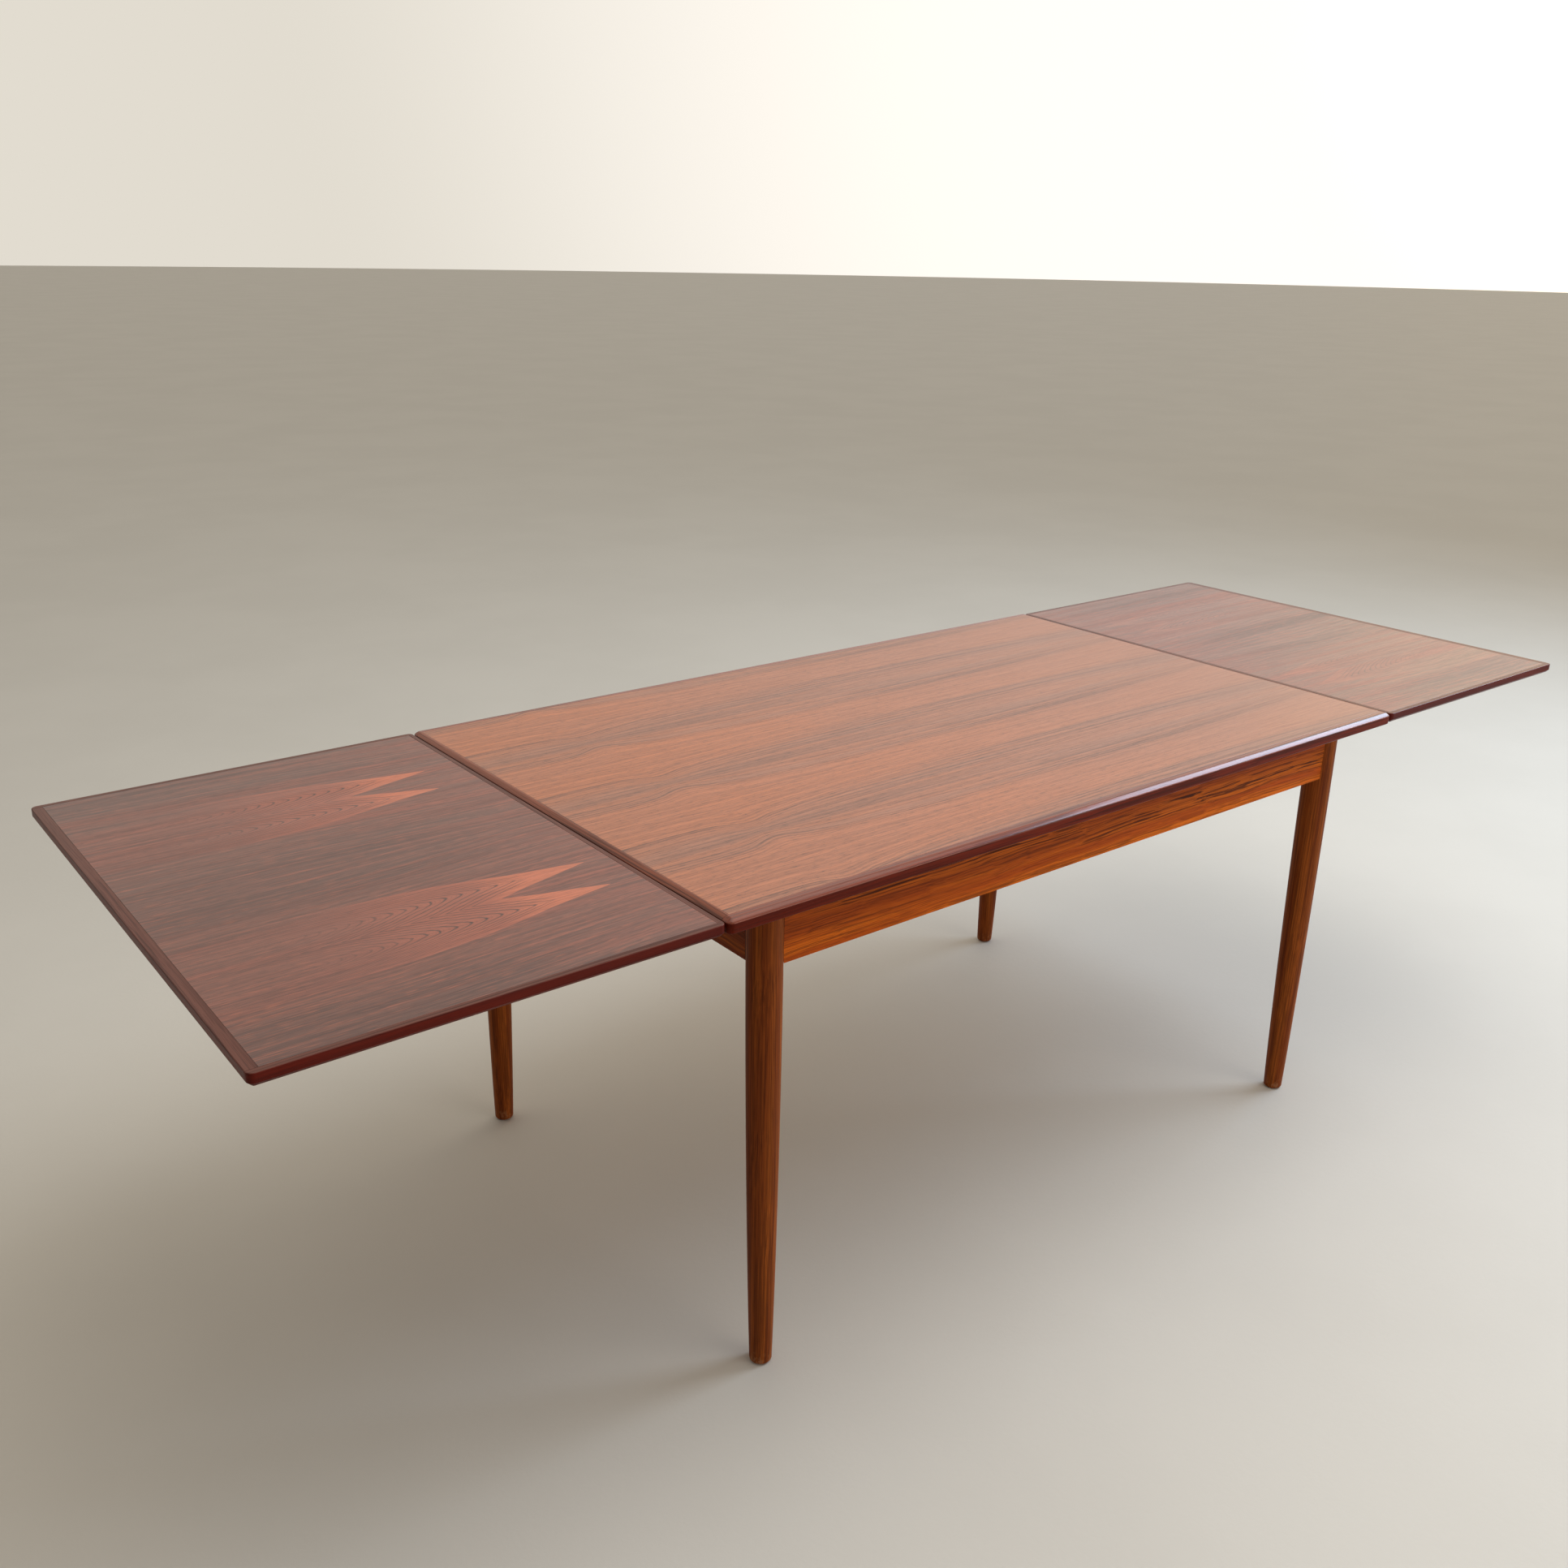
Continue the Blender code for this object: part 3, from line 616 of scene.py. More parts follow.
@dataclass(frozen=True)
class StraightWood:
    """Solid wood or veneer with straight grain along one axis.

    Below the band of heights called plain it is calmer; above it the streaks grow and it carries
    painted shade, for the shadow under the overhanging top. Above the crown it is faded and coated.
    Past the joint lies a thin dark line of painted shadow, where the apron meets a leg.
    """

    grain: Axis
    light: Colour
    middle: Colour
    dark: Colour
    spacing: float
    contrast: float
    dull: float
    coat: float = 0.0
    shine: float = WOOD_SHINE
    bend: float = 0.010
    plain: tuple[float, float] | None = None
    painted_shade: float = 0.34
    faded: Colour | None = None
    crown: float = 0.0
    # where the painted joint shadow begins, measured from the middle along the grain
    joint: float | None = None

    def make(self, name: str) -> bpy.types.Material:
        """The material.

        Args:
            name: what it is called.

        Returns:
            The material.
        """
        b = Bench(name)
        first, second = (axis for axis in Axis if axis is not self.grain)
        along = b.along(self.grain)
        u, v = b.along(first), b.along(second)
        bow = (b.noise(along * 2.6, u * 12.0, v * 12.0, 2.0) - 0.5) * self.bend
        wave = (b.noise(along * 14.0, u * 30.0, v * 30.0, 1.0) - 0.5) * self.bend * 0.25
        u, v = u + bow + wave, v + bow - wave
        scale = 1 / self.spacing
        lines = b.noise(along * 1.6, u * scale, v * scale, 2.0, 0.6).smooth(0.47, 0.60)
        broad = b.noise(along * 1.3, u * scale * 0.16, v * scale * 0.16, 2.0)
        fine = b.noise(along * 7.0, u * scale * 2.4, v * scale * 2.4, 2.0, 0.6)
        fine = fine.smooth(0.42, 0.62)
        pores = b.pores(along, u, v)
        amount = self.contrast
        ground = b.mix(broad.smooth(0.34, 0.68), self.middle, self.light)
        # above the plain band: stronger streaks, and painted shade for the shadow under the
        # overhanging top
        if self.plain is not None:
            streaked_and_shaded = b.z.smooth(*self.plain)
            amount = self.contrast * (0.5 + 0.5 * streaked_and_shaded)
            ground = b.mix(streaked_and_shaded * self.painted_shade, ground, self.dark)
        coat: Feed = self.coat
        if self.faded is not None:
            upper = b.z.smooth(self.crown - 0.0010, self.crown - 0.0001)
            ground = b.mix(upper * 0.95, ground, self.faded)
            coat = upper * self.coat
        ground = b.mix(lines * (0.45 + 0.55 * broad.smooth(0.4, 0.6)) * amount, ground, self.dark)
        ground = b.mix(fine * self.contrast * 0.35 + pores * 0.20, ground, self.dark)
        # painted shadow: a thin dark line where the apron meets the leg
        if self.joint is not None:
            seam = abs(along).smooth(self.joint - 0.0012, self.joint - 0.0006)
            ground = b.mix(seam, ground, JOINT_SHADOW)
        rough = self.dull + 0.08 * broad + 0.06 * fine
        relief = 1.0 - pores * 0.7 - fine * 0.3
        return b.finish(ground, rough, relief, GRAIN_RELIEF, coat, self.shine)


@dataclass(frozen=True)
class LegWood:
    """The turned legs: upright grain, and a scuffed, paler ring just above the floor."""

    light: Colour = tint(152, 79, 27)
    middle: Colour = tint(123, 57, 19)
    dark: Colour = tint(46, 15, 6)
    scuff: Colour = tint(146, 100, 68)

    def make(self, name: str) -> bpy.types.Material:
        """The material.

        Args:
            name: what it is called.

        Returns:
            The material.
        """
        b = Bench(name)
        bow = (b.noise(b.x * 9.0, b.y * 9.0, b.z * 2.2, 2.0) - 0.5) * 0.016
        u, v = b.x + bow, b.y + bow * 0.6
        lines = b.noise(u * 420.0, v * 420.0, b.z * 2.4, 2.0, 0.6)
        broad = b.noise(u * 70.0, v * 70.0, b.z * 1.2, 2.0)
        fine = b.noise(u * 900.0, v * 900.0, b.z * 9.0, 2.0, 0.6)
        pores = b.pores(b.z, u, v)
        ground = b.mix(broad.smooth(0.34, 0.68), self.middle, self.light)
        ground = b.mix(lines.smooth(0.45, 0.58) * 0.40, ground, self.dark)
        ground = b.mix(fine.smooth(0.42, 0.60) * 0.36 + pores * 0.20, ground, self.dark)
        low = 1.0 - b.z.smooth(0.002, 0.030)
        marks = b.noise(b.x * 160.0, b.y * 160.0, b.z * 90.0, 3.0, 0.7).smooth(0.50, 0.62)
        ground = b.mix(low * marks * 0.75, ground, self.scuff)
        rough = 0.40 + 0.10 * broad + 0.25 * low * marks
        relief = 1.0 - pores * 0.7 - fine * 0.3
        return b.finish(ground, rough, relief, GRAIN_RELIEF, shine=WOOD_SHINE)


@dataclass(frozen=True)
class Beech:
    """Pale, plain wood for what is hidden, with its short flecks."""

    grain: Axis
    light: Colour = tint(206, 168, 122)
    dark: Colour = tint(168, 122, 80)
    fleck: Colour = tint(138, 92, 58)
    stain: Colour = tint(112, 54, 22)
    relief: float = 0.00016
    stained_beyond: float | None = None

    def make(self, name: str) -> bpy.types.Material:
        """The material.

        Args:
            name: what it is called.

        Returns:
            The material.
        """
        b = Bench(name)
        first, second = (axis for axis in Axis if axis is not self.grain)
        along, u, v = b.along(self.grain), b.along(first), b.along(second)
        lines = b.noise(along * 1.5, u * 130.0, v * 130.0, 3.0, 0.55)
        cloud = b.noise(along * 3.0, u * 14.0, v * 14.0, 2.0)
        flecks = b.noise(along * 130.0, u * 1500.0, v * 1500.0, 0.0).smooth(0.64, 0.74)
        ground = b.mix(lines.smooth(0.38, 0.66) * 0.7, self.light, self.dark)
        ground = b.mix(cloud.smooth(0.4, 0.7) * 0.3, ground, self.dark)
        ground = b.mix(flecks * 0.6, ground, self.fleck)
        if self.stained_beyond is not None:
            ends = abs(along).smooth(self.stained_beyond - 0.004, self.stained_beyond)
            ground = b.mix(ends * 0.9, ground, self.stain)
        relief = 1.0 - flecks * 0.6 - lines * 0.4
        return b.finish(ground, 0.52 + 0.14 * cloud, relief, self.relief)


@dataclass(frozen=True)
class ScrewSteel:
    """Bright steel, dulled here and there."""

    bright: Colour = tint(176, 172, 164)
    dull: Colour = tint(112, 104, 94)
    relief: float = 0.00004

    def make(self, name: str) -> bpy.types.Material:
        """The material.

        Args:
            name: what it is called.

        Returns:
            The material.
        """
        b = Bench(name)
        spots = b.noise(b.x * 420.0, b.y * 420.0, b.z * 420.0, 3.0, 0.6)
        b.shader.inputs["Metallic"].default_value = 1.0
        ground = b.mix(spots.smooth(0.45, 0.7), self.bright, self.dull)
        return b.finish(ground, 0.28 + 0.3 * spots, spots, self.relief)


@dataclass(frozen=True)
class FloorPaint:
    """The plain pale floor, barely clouded."""

    light: Colour = tint(198, 192, 181)
    dark: Colour = tint(195, 189, 178)
    relief: float = 0.0004

    def make(self, name: str) -> bpy.types.Material:
        """The material.

        Args:
            name: what it is called.

        Returns:
            The material.
        """
        b = Bench(name)
        cloud = b.noise(b.x * 1.3, b.y * 1.3, 0.0, 4.0, 0.6)
        grit = b.noise(b.x * 90.0, b.y * 90.0, 0.0, 2.0, 0.6)
        ground = b.mix(cloud.smooth(0.35, 0.65), self.light, self.dark)
        return b.finish(ground, 0.6 + 0.1 * grit, grit, self.relief)


# ------------------------------------------------------------------------------------------- shapes
@dataclass(frozen=True)
class Easing:
    """How the free edges of a board are eased: their width in plan, height, fineness and roundness.

    A roundness of 0.5 is a true round.
    """

    width: float
    height: float
    steps: int
    roundness: float = TRUE_ROUND


class Shaper:
    """Makes the meshes, each in its place with its object at the origin."""

    @staticmethod
    def put(name: str, mesh: bpy.types.Mesh, material: bpy.types.Material) -> bpy.types.Object:
        """An object that shows a mesh in a material.

        Args:
            name: what the object is called.
            mesh: its shape.
            material: its finish.

        Returns:
            The object, at the origin.
        """
        mesh.materials.clear()
        mesh.materials.append(material)
        made = bpy.data.objects.new(name, mesh)
        bpy.context.scene.collection.objects.link(made)
        return made

    @staticmethod
    def soften(piece: bpy.types.Object, width: float, steps: int = 2) -> None:
        """Takes the sharpness off every edge, and keeps the flats flat in shading.

        Args:
            piece: what is softened.
            width: the width of the easing.
            steps: how finely it is made.
        """
        ease = piece.modifiers.new("eased", "BEVEL")
        ease.width = width
        ease.segments = steps
        ease.limit_method = "ANGLE"
        ease.angle_limit = EASED_TURN
        ease.use_clamp_overlap = True
        Shaper.flatten(piece)

    @staticmethod
    def flatten(piece: bpy.types.Object) -> None:
        """Shades a piece smoothly while its large faces stay flat."""
        piece.modifiers.new("flats", "WEIGHTED_NORMAL").keep_sharp = True

    @staticmethod
    def quarter(point: Vector) -> tuple[int, int]:
        """The signs of X and Y of a point."""
        return int(math.copysign(1, point.x)), int(math.copysign(1, point.y))

    @staticmethod
    def board(name: str, low: Vector, high: Vector, corners: Sequence[tuple[int, int]] = (),
              corner_radius: float = 0.0, joints: Sequence[tuple[int, int, int]] = (),
              top: Easing | None = None, under: Easing | None = None) -> bpy.types.Mesh:
        """A board with some plan corners rounded and its free edges eased.

        Args:
            name: what the mesh is called.
            low: its lowest corner.
            high: its highest corner.
            corners: the signs of X and Y of the plan corners to round.
            corner_radius: how far they are rounded.
            joints: the directions of the sides that meet other pieces.
            top: the easing of the upper edges.
            under: the easing of the lower edges.

        Returns:
            The mesh.
        """
        size, middle = high - low, (high + low) / 2
        bm = bmesh.new()
        bmesh.ops.create_cube(bm, size=1.0)
        bmesh.ops.scale(bm, vec=size, verts=bm.verts)
        if corners:
            picked = [e for e in bm.edges
                      if abs(e.verts[0].co.z - e.verts[1].co.z) > size.z / 2
                      and Shaper.quarter(e.verts[0].co) in corners]
            bmesh.ops.bevel(bm, geom=picked, offset=corner_radius, segments=CORNER_STEPS,
                            profile=TRUE_ROUND, affect="EDGES")
        kept = [Vector(j) for j in joints]
        for sign, easing in ((1, top), (-1, under)):
            if easing is None:
                continue
            bm.normal_update()
            picked = []
            for edge in bm.edges:
                flat = [f for f in edge.link_faces if f.normal.z * sign > FLAT]
                side = [f for f in edge.link_faces if abs(f.normal.z) < UPRIGHT]
                if len(flat) != 1 or len(side) != 1:
                    continue
                if not any(side[0].normal.dot(k) > FLAT for k in kept):
                    picked.append(edge)
            bmesh.ops.bevel(bm, geom=picked, offset=easing.width, segments=easing.steps,
                            profile=easing.roundness, affect="EDGES")
            for vert in bm.verts:
                depth = size.z / 2 - sign * vert.co.z
                if depth < easing.width + NEAR:
                    vert.co.z = sign * (size.z / 2 - depth * easing.height / easing.width)
        bmesh.ops.translate(bm, vec=middle, verts=bm.verts)
        return Shaper.close(bm, name)

    @staticmethod
    def turned(name: str, profile: Sequence[tuple[float, float]], sides: int,
               place: Callable[[Vector], Vector]) -> bpy.types.Mesh:
        """A turned solid.

        Args:
            name: what the mesh is called.
            profile: pairs of radius and height, the first and the last on the axis.
            sides: how many points a ring has.
            place: puts a point of the turned solid where it belongs.

        Returns:
            The mesh.
        """
        bm = bmesh.new()
        rings = []
        for radius, height in profile[1:-1]:
            ring = []
            for n in range(sides):
                turn = math.tau * n / sides
                at = Vector((radius * math.cos(turn), radius * math.sin(turn), height))
                ring.append(bm.verts.new(place(at)))
            rings.append(ring)
        for upper, lower in zip(rings, rings[1:]):
            for n in range(sides):
                m = (n + 1) % sides
                bm.faces.new((upper[n], upper[m], lower[m], lower[n]))
        bm.faces.new(rings[0])
        bm.faces.new(rings[-1])
        return Shaper.close(bm, name)

    @staticmethod
    def close(bm: bmesh.types.BMesh, name: str) -> bpy.types.Mesh:
        """Turns a worked shape into a mesh whose faces point out and whose arrises are sharp.

        Args:
            bm: the worked shape, which is used up.
            name: what the mesh is called.

        Returns:
            The mesh.
        """
        bmesh.ops.recalc_face_normals(bm, faces=bm.faces)
        mesh = bpy.data.meshes.new(name)
        bm.to_mesh(mesh)
        bm.free()
        mesh.shade_smooth()
        mesh.set_sharp_from_angle(angle=SHARP_TURN)
        return mesh

    @staticmethod
    def carve(piece: bpy.types.Object, cutters: Iterable[bpy.types.Mesh]) -> None:
        """Cuts closed meshes out of a piece for good.

        Args:
            piece: what is cut.
            cutters: the closed meshes, which are used up.
        """
        holders = []
        for mesh in cutters:
            holder = bpy.data.objects.new(mesh.name, mesh)
            bpy.context.scene.collection.objects.link(holder)
            step = piece.modifiers.new("cut", "BOOLEAN")
            step.operation, step.solver, step.object = "DIFFERENCE", "EXACT", holder
            holders.append(holder)
        bpy.context.view_layer.update()
        cut = piece.evaluated_get(bpy.context.evaluated_depsgraph_get())
        done = bpy.data.meshes.new_from_object(cut)
        piece.modifiers.clear()
        done.name = piece.name
        piece.data = done
        done.set_sharp_from_angle(angle=SHARP_TURN)
        for holder in holders:
            bpy.data.objects.remove(holder)


# ---------------------------------------------------------------------------------- shared finishes
def middle_height(node: str) -> float:
    """The height halfway up a node of the frame."""
    low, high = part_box(node)
    return (low.z + high.z) / 2


class Finishes:
    """Every finish of the table, made once."""

    def __init__(self) -> None:
        """Makes the materials."""
        lipping = {"light": tint(106, 32, 14), "middle": tint(88, 23, 9), "dark": tint(46, 13, 7)}
        edge = {"light": tint(100, 28, 16), "middle": tint(80, 19, 11), "dark": tint(42, 12, 9)}
        apron = {"light": tint(212, 106, 20), "middle": tint(176, 76, 11), "dark": tint(58, 20, 5)}
        top_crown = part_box("top_lipping_front")[1].z - CROWN_DEPTH
        leaf_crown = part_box("left_leaf_lipping_front")[1].z
        self.top = TopVeneer(middle_height("top_panel")).make("top_veneer_pinched")
        self.leaf = LeafVeneer(middle_height("left_leaf_panel")).make("leaf_veneer_flamed")
        self.legs = LegWood().make("leg_wood_upright")
        self.steel = ScrewSteel().make("screw_steel")
        crowns = {Axis.X: tint(134, 68, 49), Axis.Y: tint(142, 77, 54)}
        self.top_lipping = {
            axis: StraightWood(axis, **lipping, spacing=0.0032, contrast=0.65, dull=0.24, coat=0.60,
                               faded=faded, crown=top_crown).make(f"top_lipping_{axis.name}")
            for axis, faded in crowns.items()}
        self.leaf_lipping = {
            axis: StraightWood(axis, **edge, spacing=0.0030, contrast=0.5, dull=0.28, coat=0.14,
                               shine=0.08, faded=tint(107, 66, 55),
                               crown=leaf_crown).make(f"leaf_lipping_{axis.name}")
            for axis in crowns}
        # painted shade: the end aprons get a darker copy of the apron colours, for the shadow of the
        # leaves and the top
        painted_shade = {"light": tint(158, 78, 22), "middle": tint(126, 52, 14), "dark": tint(52, 20, 8)}
        # where the painted joint shadow of each apron against the legs begins
        leg, front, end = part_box("leg_front_left"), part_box("apron_front"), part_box("apron_left")
        radius = (leg[1].x - leg[0].x) / 2
        leg_x, leg_y = leg[0].x + radius, cad_low.y + Leg.inset_y
        long_joint = -leg_x - math.sqrt(radius ** 2 - (leg_y - front[0].y) ** 2)
        short_joint = -leg_y - math.sqrt(radius ** 2 - (leg_x - end[0].x) ** 2)
        self.apron = {
            axis: StraightWood(axis, **colours, spacing=0.0026, contrast=1.0, dull=0.42, bend=0.020,
                               plain=PLAIN_BAND, joint=joint).make(f"apron_veneer_{axis.name}")
            for axis, colours, joint in ((Axis.X, apron, long_joint),
                                         (Axis.Y, painted_shade, short_joint))}
        self.beech = {axis: Beech(axis).make(f"beech_{axis.name}") for axis in Axis}
        stained = Beech(Axis.Y, stained_beyond=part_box("centre_board")[1].y - 0.001)
        self.centre_board = stained.make("beech_with_stained_ends")


# ----------------------------------------------------------------------------------- sub-assemblies
@dataclass
class Top:
    """A veneered board between four solid lippings: the centre top, or a leaf."""

    prefix: str
    body: str
    veneer: bpy.types.Material
    lipping: dict[Axis, bpy.types.Material]
    veneer_slot: str
    upper: Easing
    lower: Easing
    corner: float = 0.009
    seam: float = 0.00012
    panel_arris: float = 0.00025
    lipping_arris: float = 0.0003

    def build(self) -> list[bpy.types.Object]:
        """Makes the panel and its lippings in place of the frame's.

        Returns:
            The pieces.
        """
        low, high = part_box(f"{self.prefix}_panel")
        grow = Vector((self.seam, self.seam, 0))
        panel = Shaper.put(f"{self.prefix}_veneered_panel",
                           Shaper.board("panel", low - grow, high + grow), self.veneer)
        Shaper.soften(panel, self.panel_arris)
        pieces = [self.settle(panel, "panel")]
        for edge in Edge:
            node = f"lipping_{edge.name.lower()}"
            low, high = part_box(f"{self.prefix}_{node}")
            mesh = Shaper.board(node, low, high, [(-1, edge.value), (1, edge.value)], self.corner,
                                [(0, -edge.value, 0)], self.upper, self.lower)
            pieces.append(self.lip(node, mesh, Axis.X))
        for side in Side:
            node = f"lipping_{side.name.lower()}"
            low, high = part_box(f"{self.prefix}_{node}")
            grow = Vector((0, self.seam, 0))
            joints = [(-side.value, 0, 0), (0, 1, 0), (0, -1, 0)]
            mesh = Shaper.board(node, low - grow, high + grow, joints=joints, top=self.upper,
                                under=self.lower)
            pieces.append(self.lip(node, mesh, Axis.Y))
        return pieces

    def lip(self, node: str, mesh: bpy.types.Mesh, grain: Axis) -> bpy.types.Object:
        """One lipping, dressed and settled.

        Args:
            node: the end of the name of the frame's lipping.
            mesh: its shape.
            grain: the axis its grain follows.

        Returns:
            The piece.
        """
        piece = Shaper.put(f"{self.prefix}_solid_{node}", mesh, self.lipping[grain])
        Shaper.soften(piece, self.lipping_arris)
        return self.settle(piece, node)

    def settle(self, piece: bpy.types.Object, node: str) -> bpy.types.Object:
        """Puts a piece on its body, in place of one of the frame's nodes.

        Args:
            piece: the piece.
            node: the end of the name of the frame's node.

        Returns:
            The piece.
        """
        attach(piece, self.body)
        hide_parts(f"{self.prefix}_{node}")
        return piece


@dataclass
class Leg:
    """A turned leg that leans a little outwards and is sawn level with the floor."""

    edge: Edge
    side: Side
    material: bpy.types.Material
    inset_y: float = 0.062
    splay: float = 0.009
    top_radius: float = 0.0243
    foot_radius: float = 0.0160
    top_rounding: float = 0.003
    foot_rounding: float = 0.005
    straight: float = 0.073
    trim: float = 0.0006
    foot_turn: float = 66.0
    foot_hollow: float = 0.7
    swell: tuple[float, float] = (1.7, 0.9)
    tenon: Way = (0.023, 0.0086, 0.0266)
    tenon_above: float = 0.021
    tenon_start: float = 0.0123
    round_steps: int = 8
    taper_steps: int = 24
    sides: int = 72

    @property
    def name(self) -> str:
        """The name of the frame's leg."""
        return f"leg_{self.edge.name.lower()}_{self.side.name.lower()}"

    def profile(self, height: float) -> list[tuple[float, float]]:
        """Pairs of radius and height, from the top down.

        Args:
            height: the height of the leg.

        Returns:
            The pairs.
        """
        top, foot = self.top_radius, self.foot_radius
        bulge, easing = self.swell
        points = [(0.0, height)]
        for n in range(self.round_steps + 1):
            turn = math.radians(90 * n / self.round_steps)
            points.append((top - self.top_rounding * (1 - math.sin(turn)),
                           height - self.top_rounding * (1 - math.cos(turn))))
        low = height - self.straight
        rest = low - self.foot_rounding
        points.append((top, (height + low) / 2))
        for n in range(self.taper_steps + 1):
            share = n / self.taper_steps
            radius = foot + (top - foot) * (1 - share ** bulge) ** easing
            points.append((radius, self.foot_rounding + rest * (1 - share)))
        for n in range(1, self.round_steps + 1):
            turn = math.radians(self.foot_turn * n / self.round_steps)
            points.append((foot - self.foot_rounding * (1 - math.cos(turn)),
                           self.foot_rounding * (1 - math.sin(turn))))
        inner = foot - self.foot_rounding * self.foot_hollow
        points += [(inner, -self.trim), (0.0, -self.trim)]
        return points

    def build(self) -> bpy.types.Object:
        """Makes the leg in place of the frame's.

        Returns:
            The piece.
        """
        low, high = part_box(self.name)
        height = high.z
        x = (low.x + high.x) / 2
        y = self.edge.value * (cad_high.y - self.inset_y)
        lean = self.edge.value * math.atan2(self.splay, height)
        turn = Matrix.Rotation(lean, 3, "X")
        base = Vector((x, y + math.sin(lean) * height, height - math.cos(lean) * height))

        def place(point: Vector) -> Vector:
            """A point of the turned leg, leaned and sawn level.

            Args:
                point: where it lies on the upright leg.

            Returns:
                Where it lies on the table.
            """
            found = base + turn @ point
            found.z = max(0.0, min(height, found.z))
            return found

        mesh = Shaper.turned("leg", self.profile(height), self.sides, place)
        leg = Shaper.put(f"{self.name}_turned", mesh, self.material)
        Shaper.carve(leg, self.mortises(x, y, height))
        Shaper.flatten(leg)
        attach(leg, "frame")
        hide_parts(self.name)
        return leg

    def mortises(self, x: float, y: float, height: float) -> list[bpy.types.Mesh]:
        """The rooms for the tenons of the two aprons.

        Args:
            x: where the leg stands.
            y: where the leg stands.
            height: the height of the leg.

        Returns:
            The rooms, as closed meshes.
        """
        long, thick, tall = self.tenon
        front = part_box(f"apron_{self.edge.name.lower()}")
        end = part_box(f"apron_{self.side.name.lower()}")
        apron_y = (front[0].y + front[1].y) / 2
        apron_x = (end[0].x + end[1].x) / 2
        z = height - self.straight + self.tenon_above
        start = self.top_radius - self.tenon_start
        middle = start + long / 2
        rooms = (
            (Vector((x - self.side.value * middle, apron_y, z)), Vector((long, thick, tall))),
            (Vector((apron_x, y - self.edge.value * middle, z)), Vector((thick, long, tall))))
        return [Shaper.board("mortise", centre - size / 2, centre + size / 2)
                for centre, size in rooms]


@dataclass
class Screw:
    """A countersunk screw with a slot in its head."""

    node: str
    body: str
    material: bpy.types.Material
    head_radius: float = 0.004
    shank_radius: float = 0.002
    head_height: float = 0.003
    slot_width: float = 0.0011
    slot_depth: float = 0.0012
    slot_reach: float = 1.2
    rim: tuple[float, float] = (0.0002, 0.0005)
    plain: float = 0.004
    root: float = 0.72
    point: tuple[float, float] = (0.0002, 0.0015)
    turns: int = 14
    sides: int = 32

    def build(self) -> bpy.types.Object:
        """Makes the screw in place of the frame's.

        Returns:
            The piece.
        """
        low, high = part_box(self.node)
        upright = self.node.startswith("board")
        sign = 1 if upright else -1
        head = high.z if upright else low.z
        x, y = (low.x + high.x) / 2, (low.y + high.y) / 2
        length = high.z - low.z
        r, s = self.head_radius, self.shank_radius
        eased, rim = self.rim
        blunt, taper = self.point
        profile = [(0.0, 0.0), (r - eased, 0.0), (r, -eased), (r - eased, -rim),
                   (s, -self.head_height)]
        start, end = self.head_height + self.plain, length - self.plain
        root, pitch = s * self.root, (end - start) / self.turns
        for n in range(self.turns):
            at = start + (end - start) * n / self.turns
            profile += [(root, -at - pitch * 0.1), (s, -at - pitch * 0.5),
                        (root, -at - pitch * 0.9)]
        profile += [(s * 0.5, -length + taper), (blunt, -length), (0.0, -length)]
        mesh = Shaper.turned("screw", profile, self.sides,
                             lambda p: Vector((x + p.x, y + sign * p.y, head + sign * p.z)))
        piece = Shaper.put(f"{self.node}_slotted", mesh, self.material)
        half = Vector((r * self.slot_reach, self.slot_width / 2, self.slot_depth))
        centre = Vector((x, y, head))
        Shaper.carve(piece, [Shaper.board("slot", centre - half, centre + half)])
        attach(piece, self.body)
        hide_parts(self.node)
        return piece


@dataclass
class Pin:
    """A turned peg or dowel with eased ends."""

    node: str
    body: str
    axis: Axis
    material: bpy.types.Material
    ease: float = 0.0008
    rounding: float = 0.3
    sides: int = 40

    def build(self) -> bpy.types.Object:
        """Makes the pin in place of the frame's.

        Returns:
            The piece.
        """
        low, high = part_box(self.node)
        middle, size = (low + high) / 2, high - low
        length = size[self.axis.value]
        radius = min(size) / 2
        half, e, s = length / 2, self.ease, self.ease * self.rounding
        upper = [(0.0, half), (radius - e, half), (radius - s, half - s), (radius, half - e)]
        lower = [(out, -height) for out, height in reversed(upper)]
        turn = Matrix.Rotation(math.radians(90 if self.axis is Axis.Y else 0), 3, "X")
        mesh = Shaper.turned("pin", [*upper, (radius, 0.0), *lower], self.sides,
                             lambda p: middle + turn @ p)
        piece = Shaper.put(f"{self.node}_turned", mesh, self.material)
        Shaper.flatten(piece)
        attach(piece, self.body)
        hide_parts(self.node)
        return piece


@dataclass
class Underframe:
    """Legs, aprons, corner blocks, the fixed centre board, its battens and its screws."""

    finishes: Finishes
    arris: float = 0.0006

    def build(self) -> None:
        """Makes or dresses each piece."""
        for edge in Edge:
            for side in Side:
                report(Leg(edge, side, self.finishes.legs).build())
                corner = f"{edge.name.lower()}_{side.name.lower()}"
                self.dress(f"corner_block_{corner}", self.finishes.beech[Axis.Z])
                report(Screw(f"board_screw_{corner}", "frame", self.finishes.steel).build())
            self.dress(f"apron_{edge.name.lower()}", self.finishes.apron[Axis.X])
            self.dress(f"slide_guide_{edge.name.lower()}", self.finishes.beech[Axis.X])
        for side in Side:
            self.dress(f"apron_{side.name.lower()}", self.finishes.apron[Axis.Y])
        self.dress("centre_board", self.finishes.centre_board)

    def dress(self, node: str, material: bpy.types.Material) -> None:
        """Keeps a node of the frame, with eased arrises and its finish."""
        dress_node(node, material, self.arris)


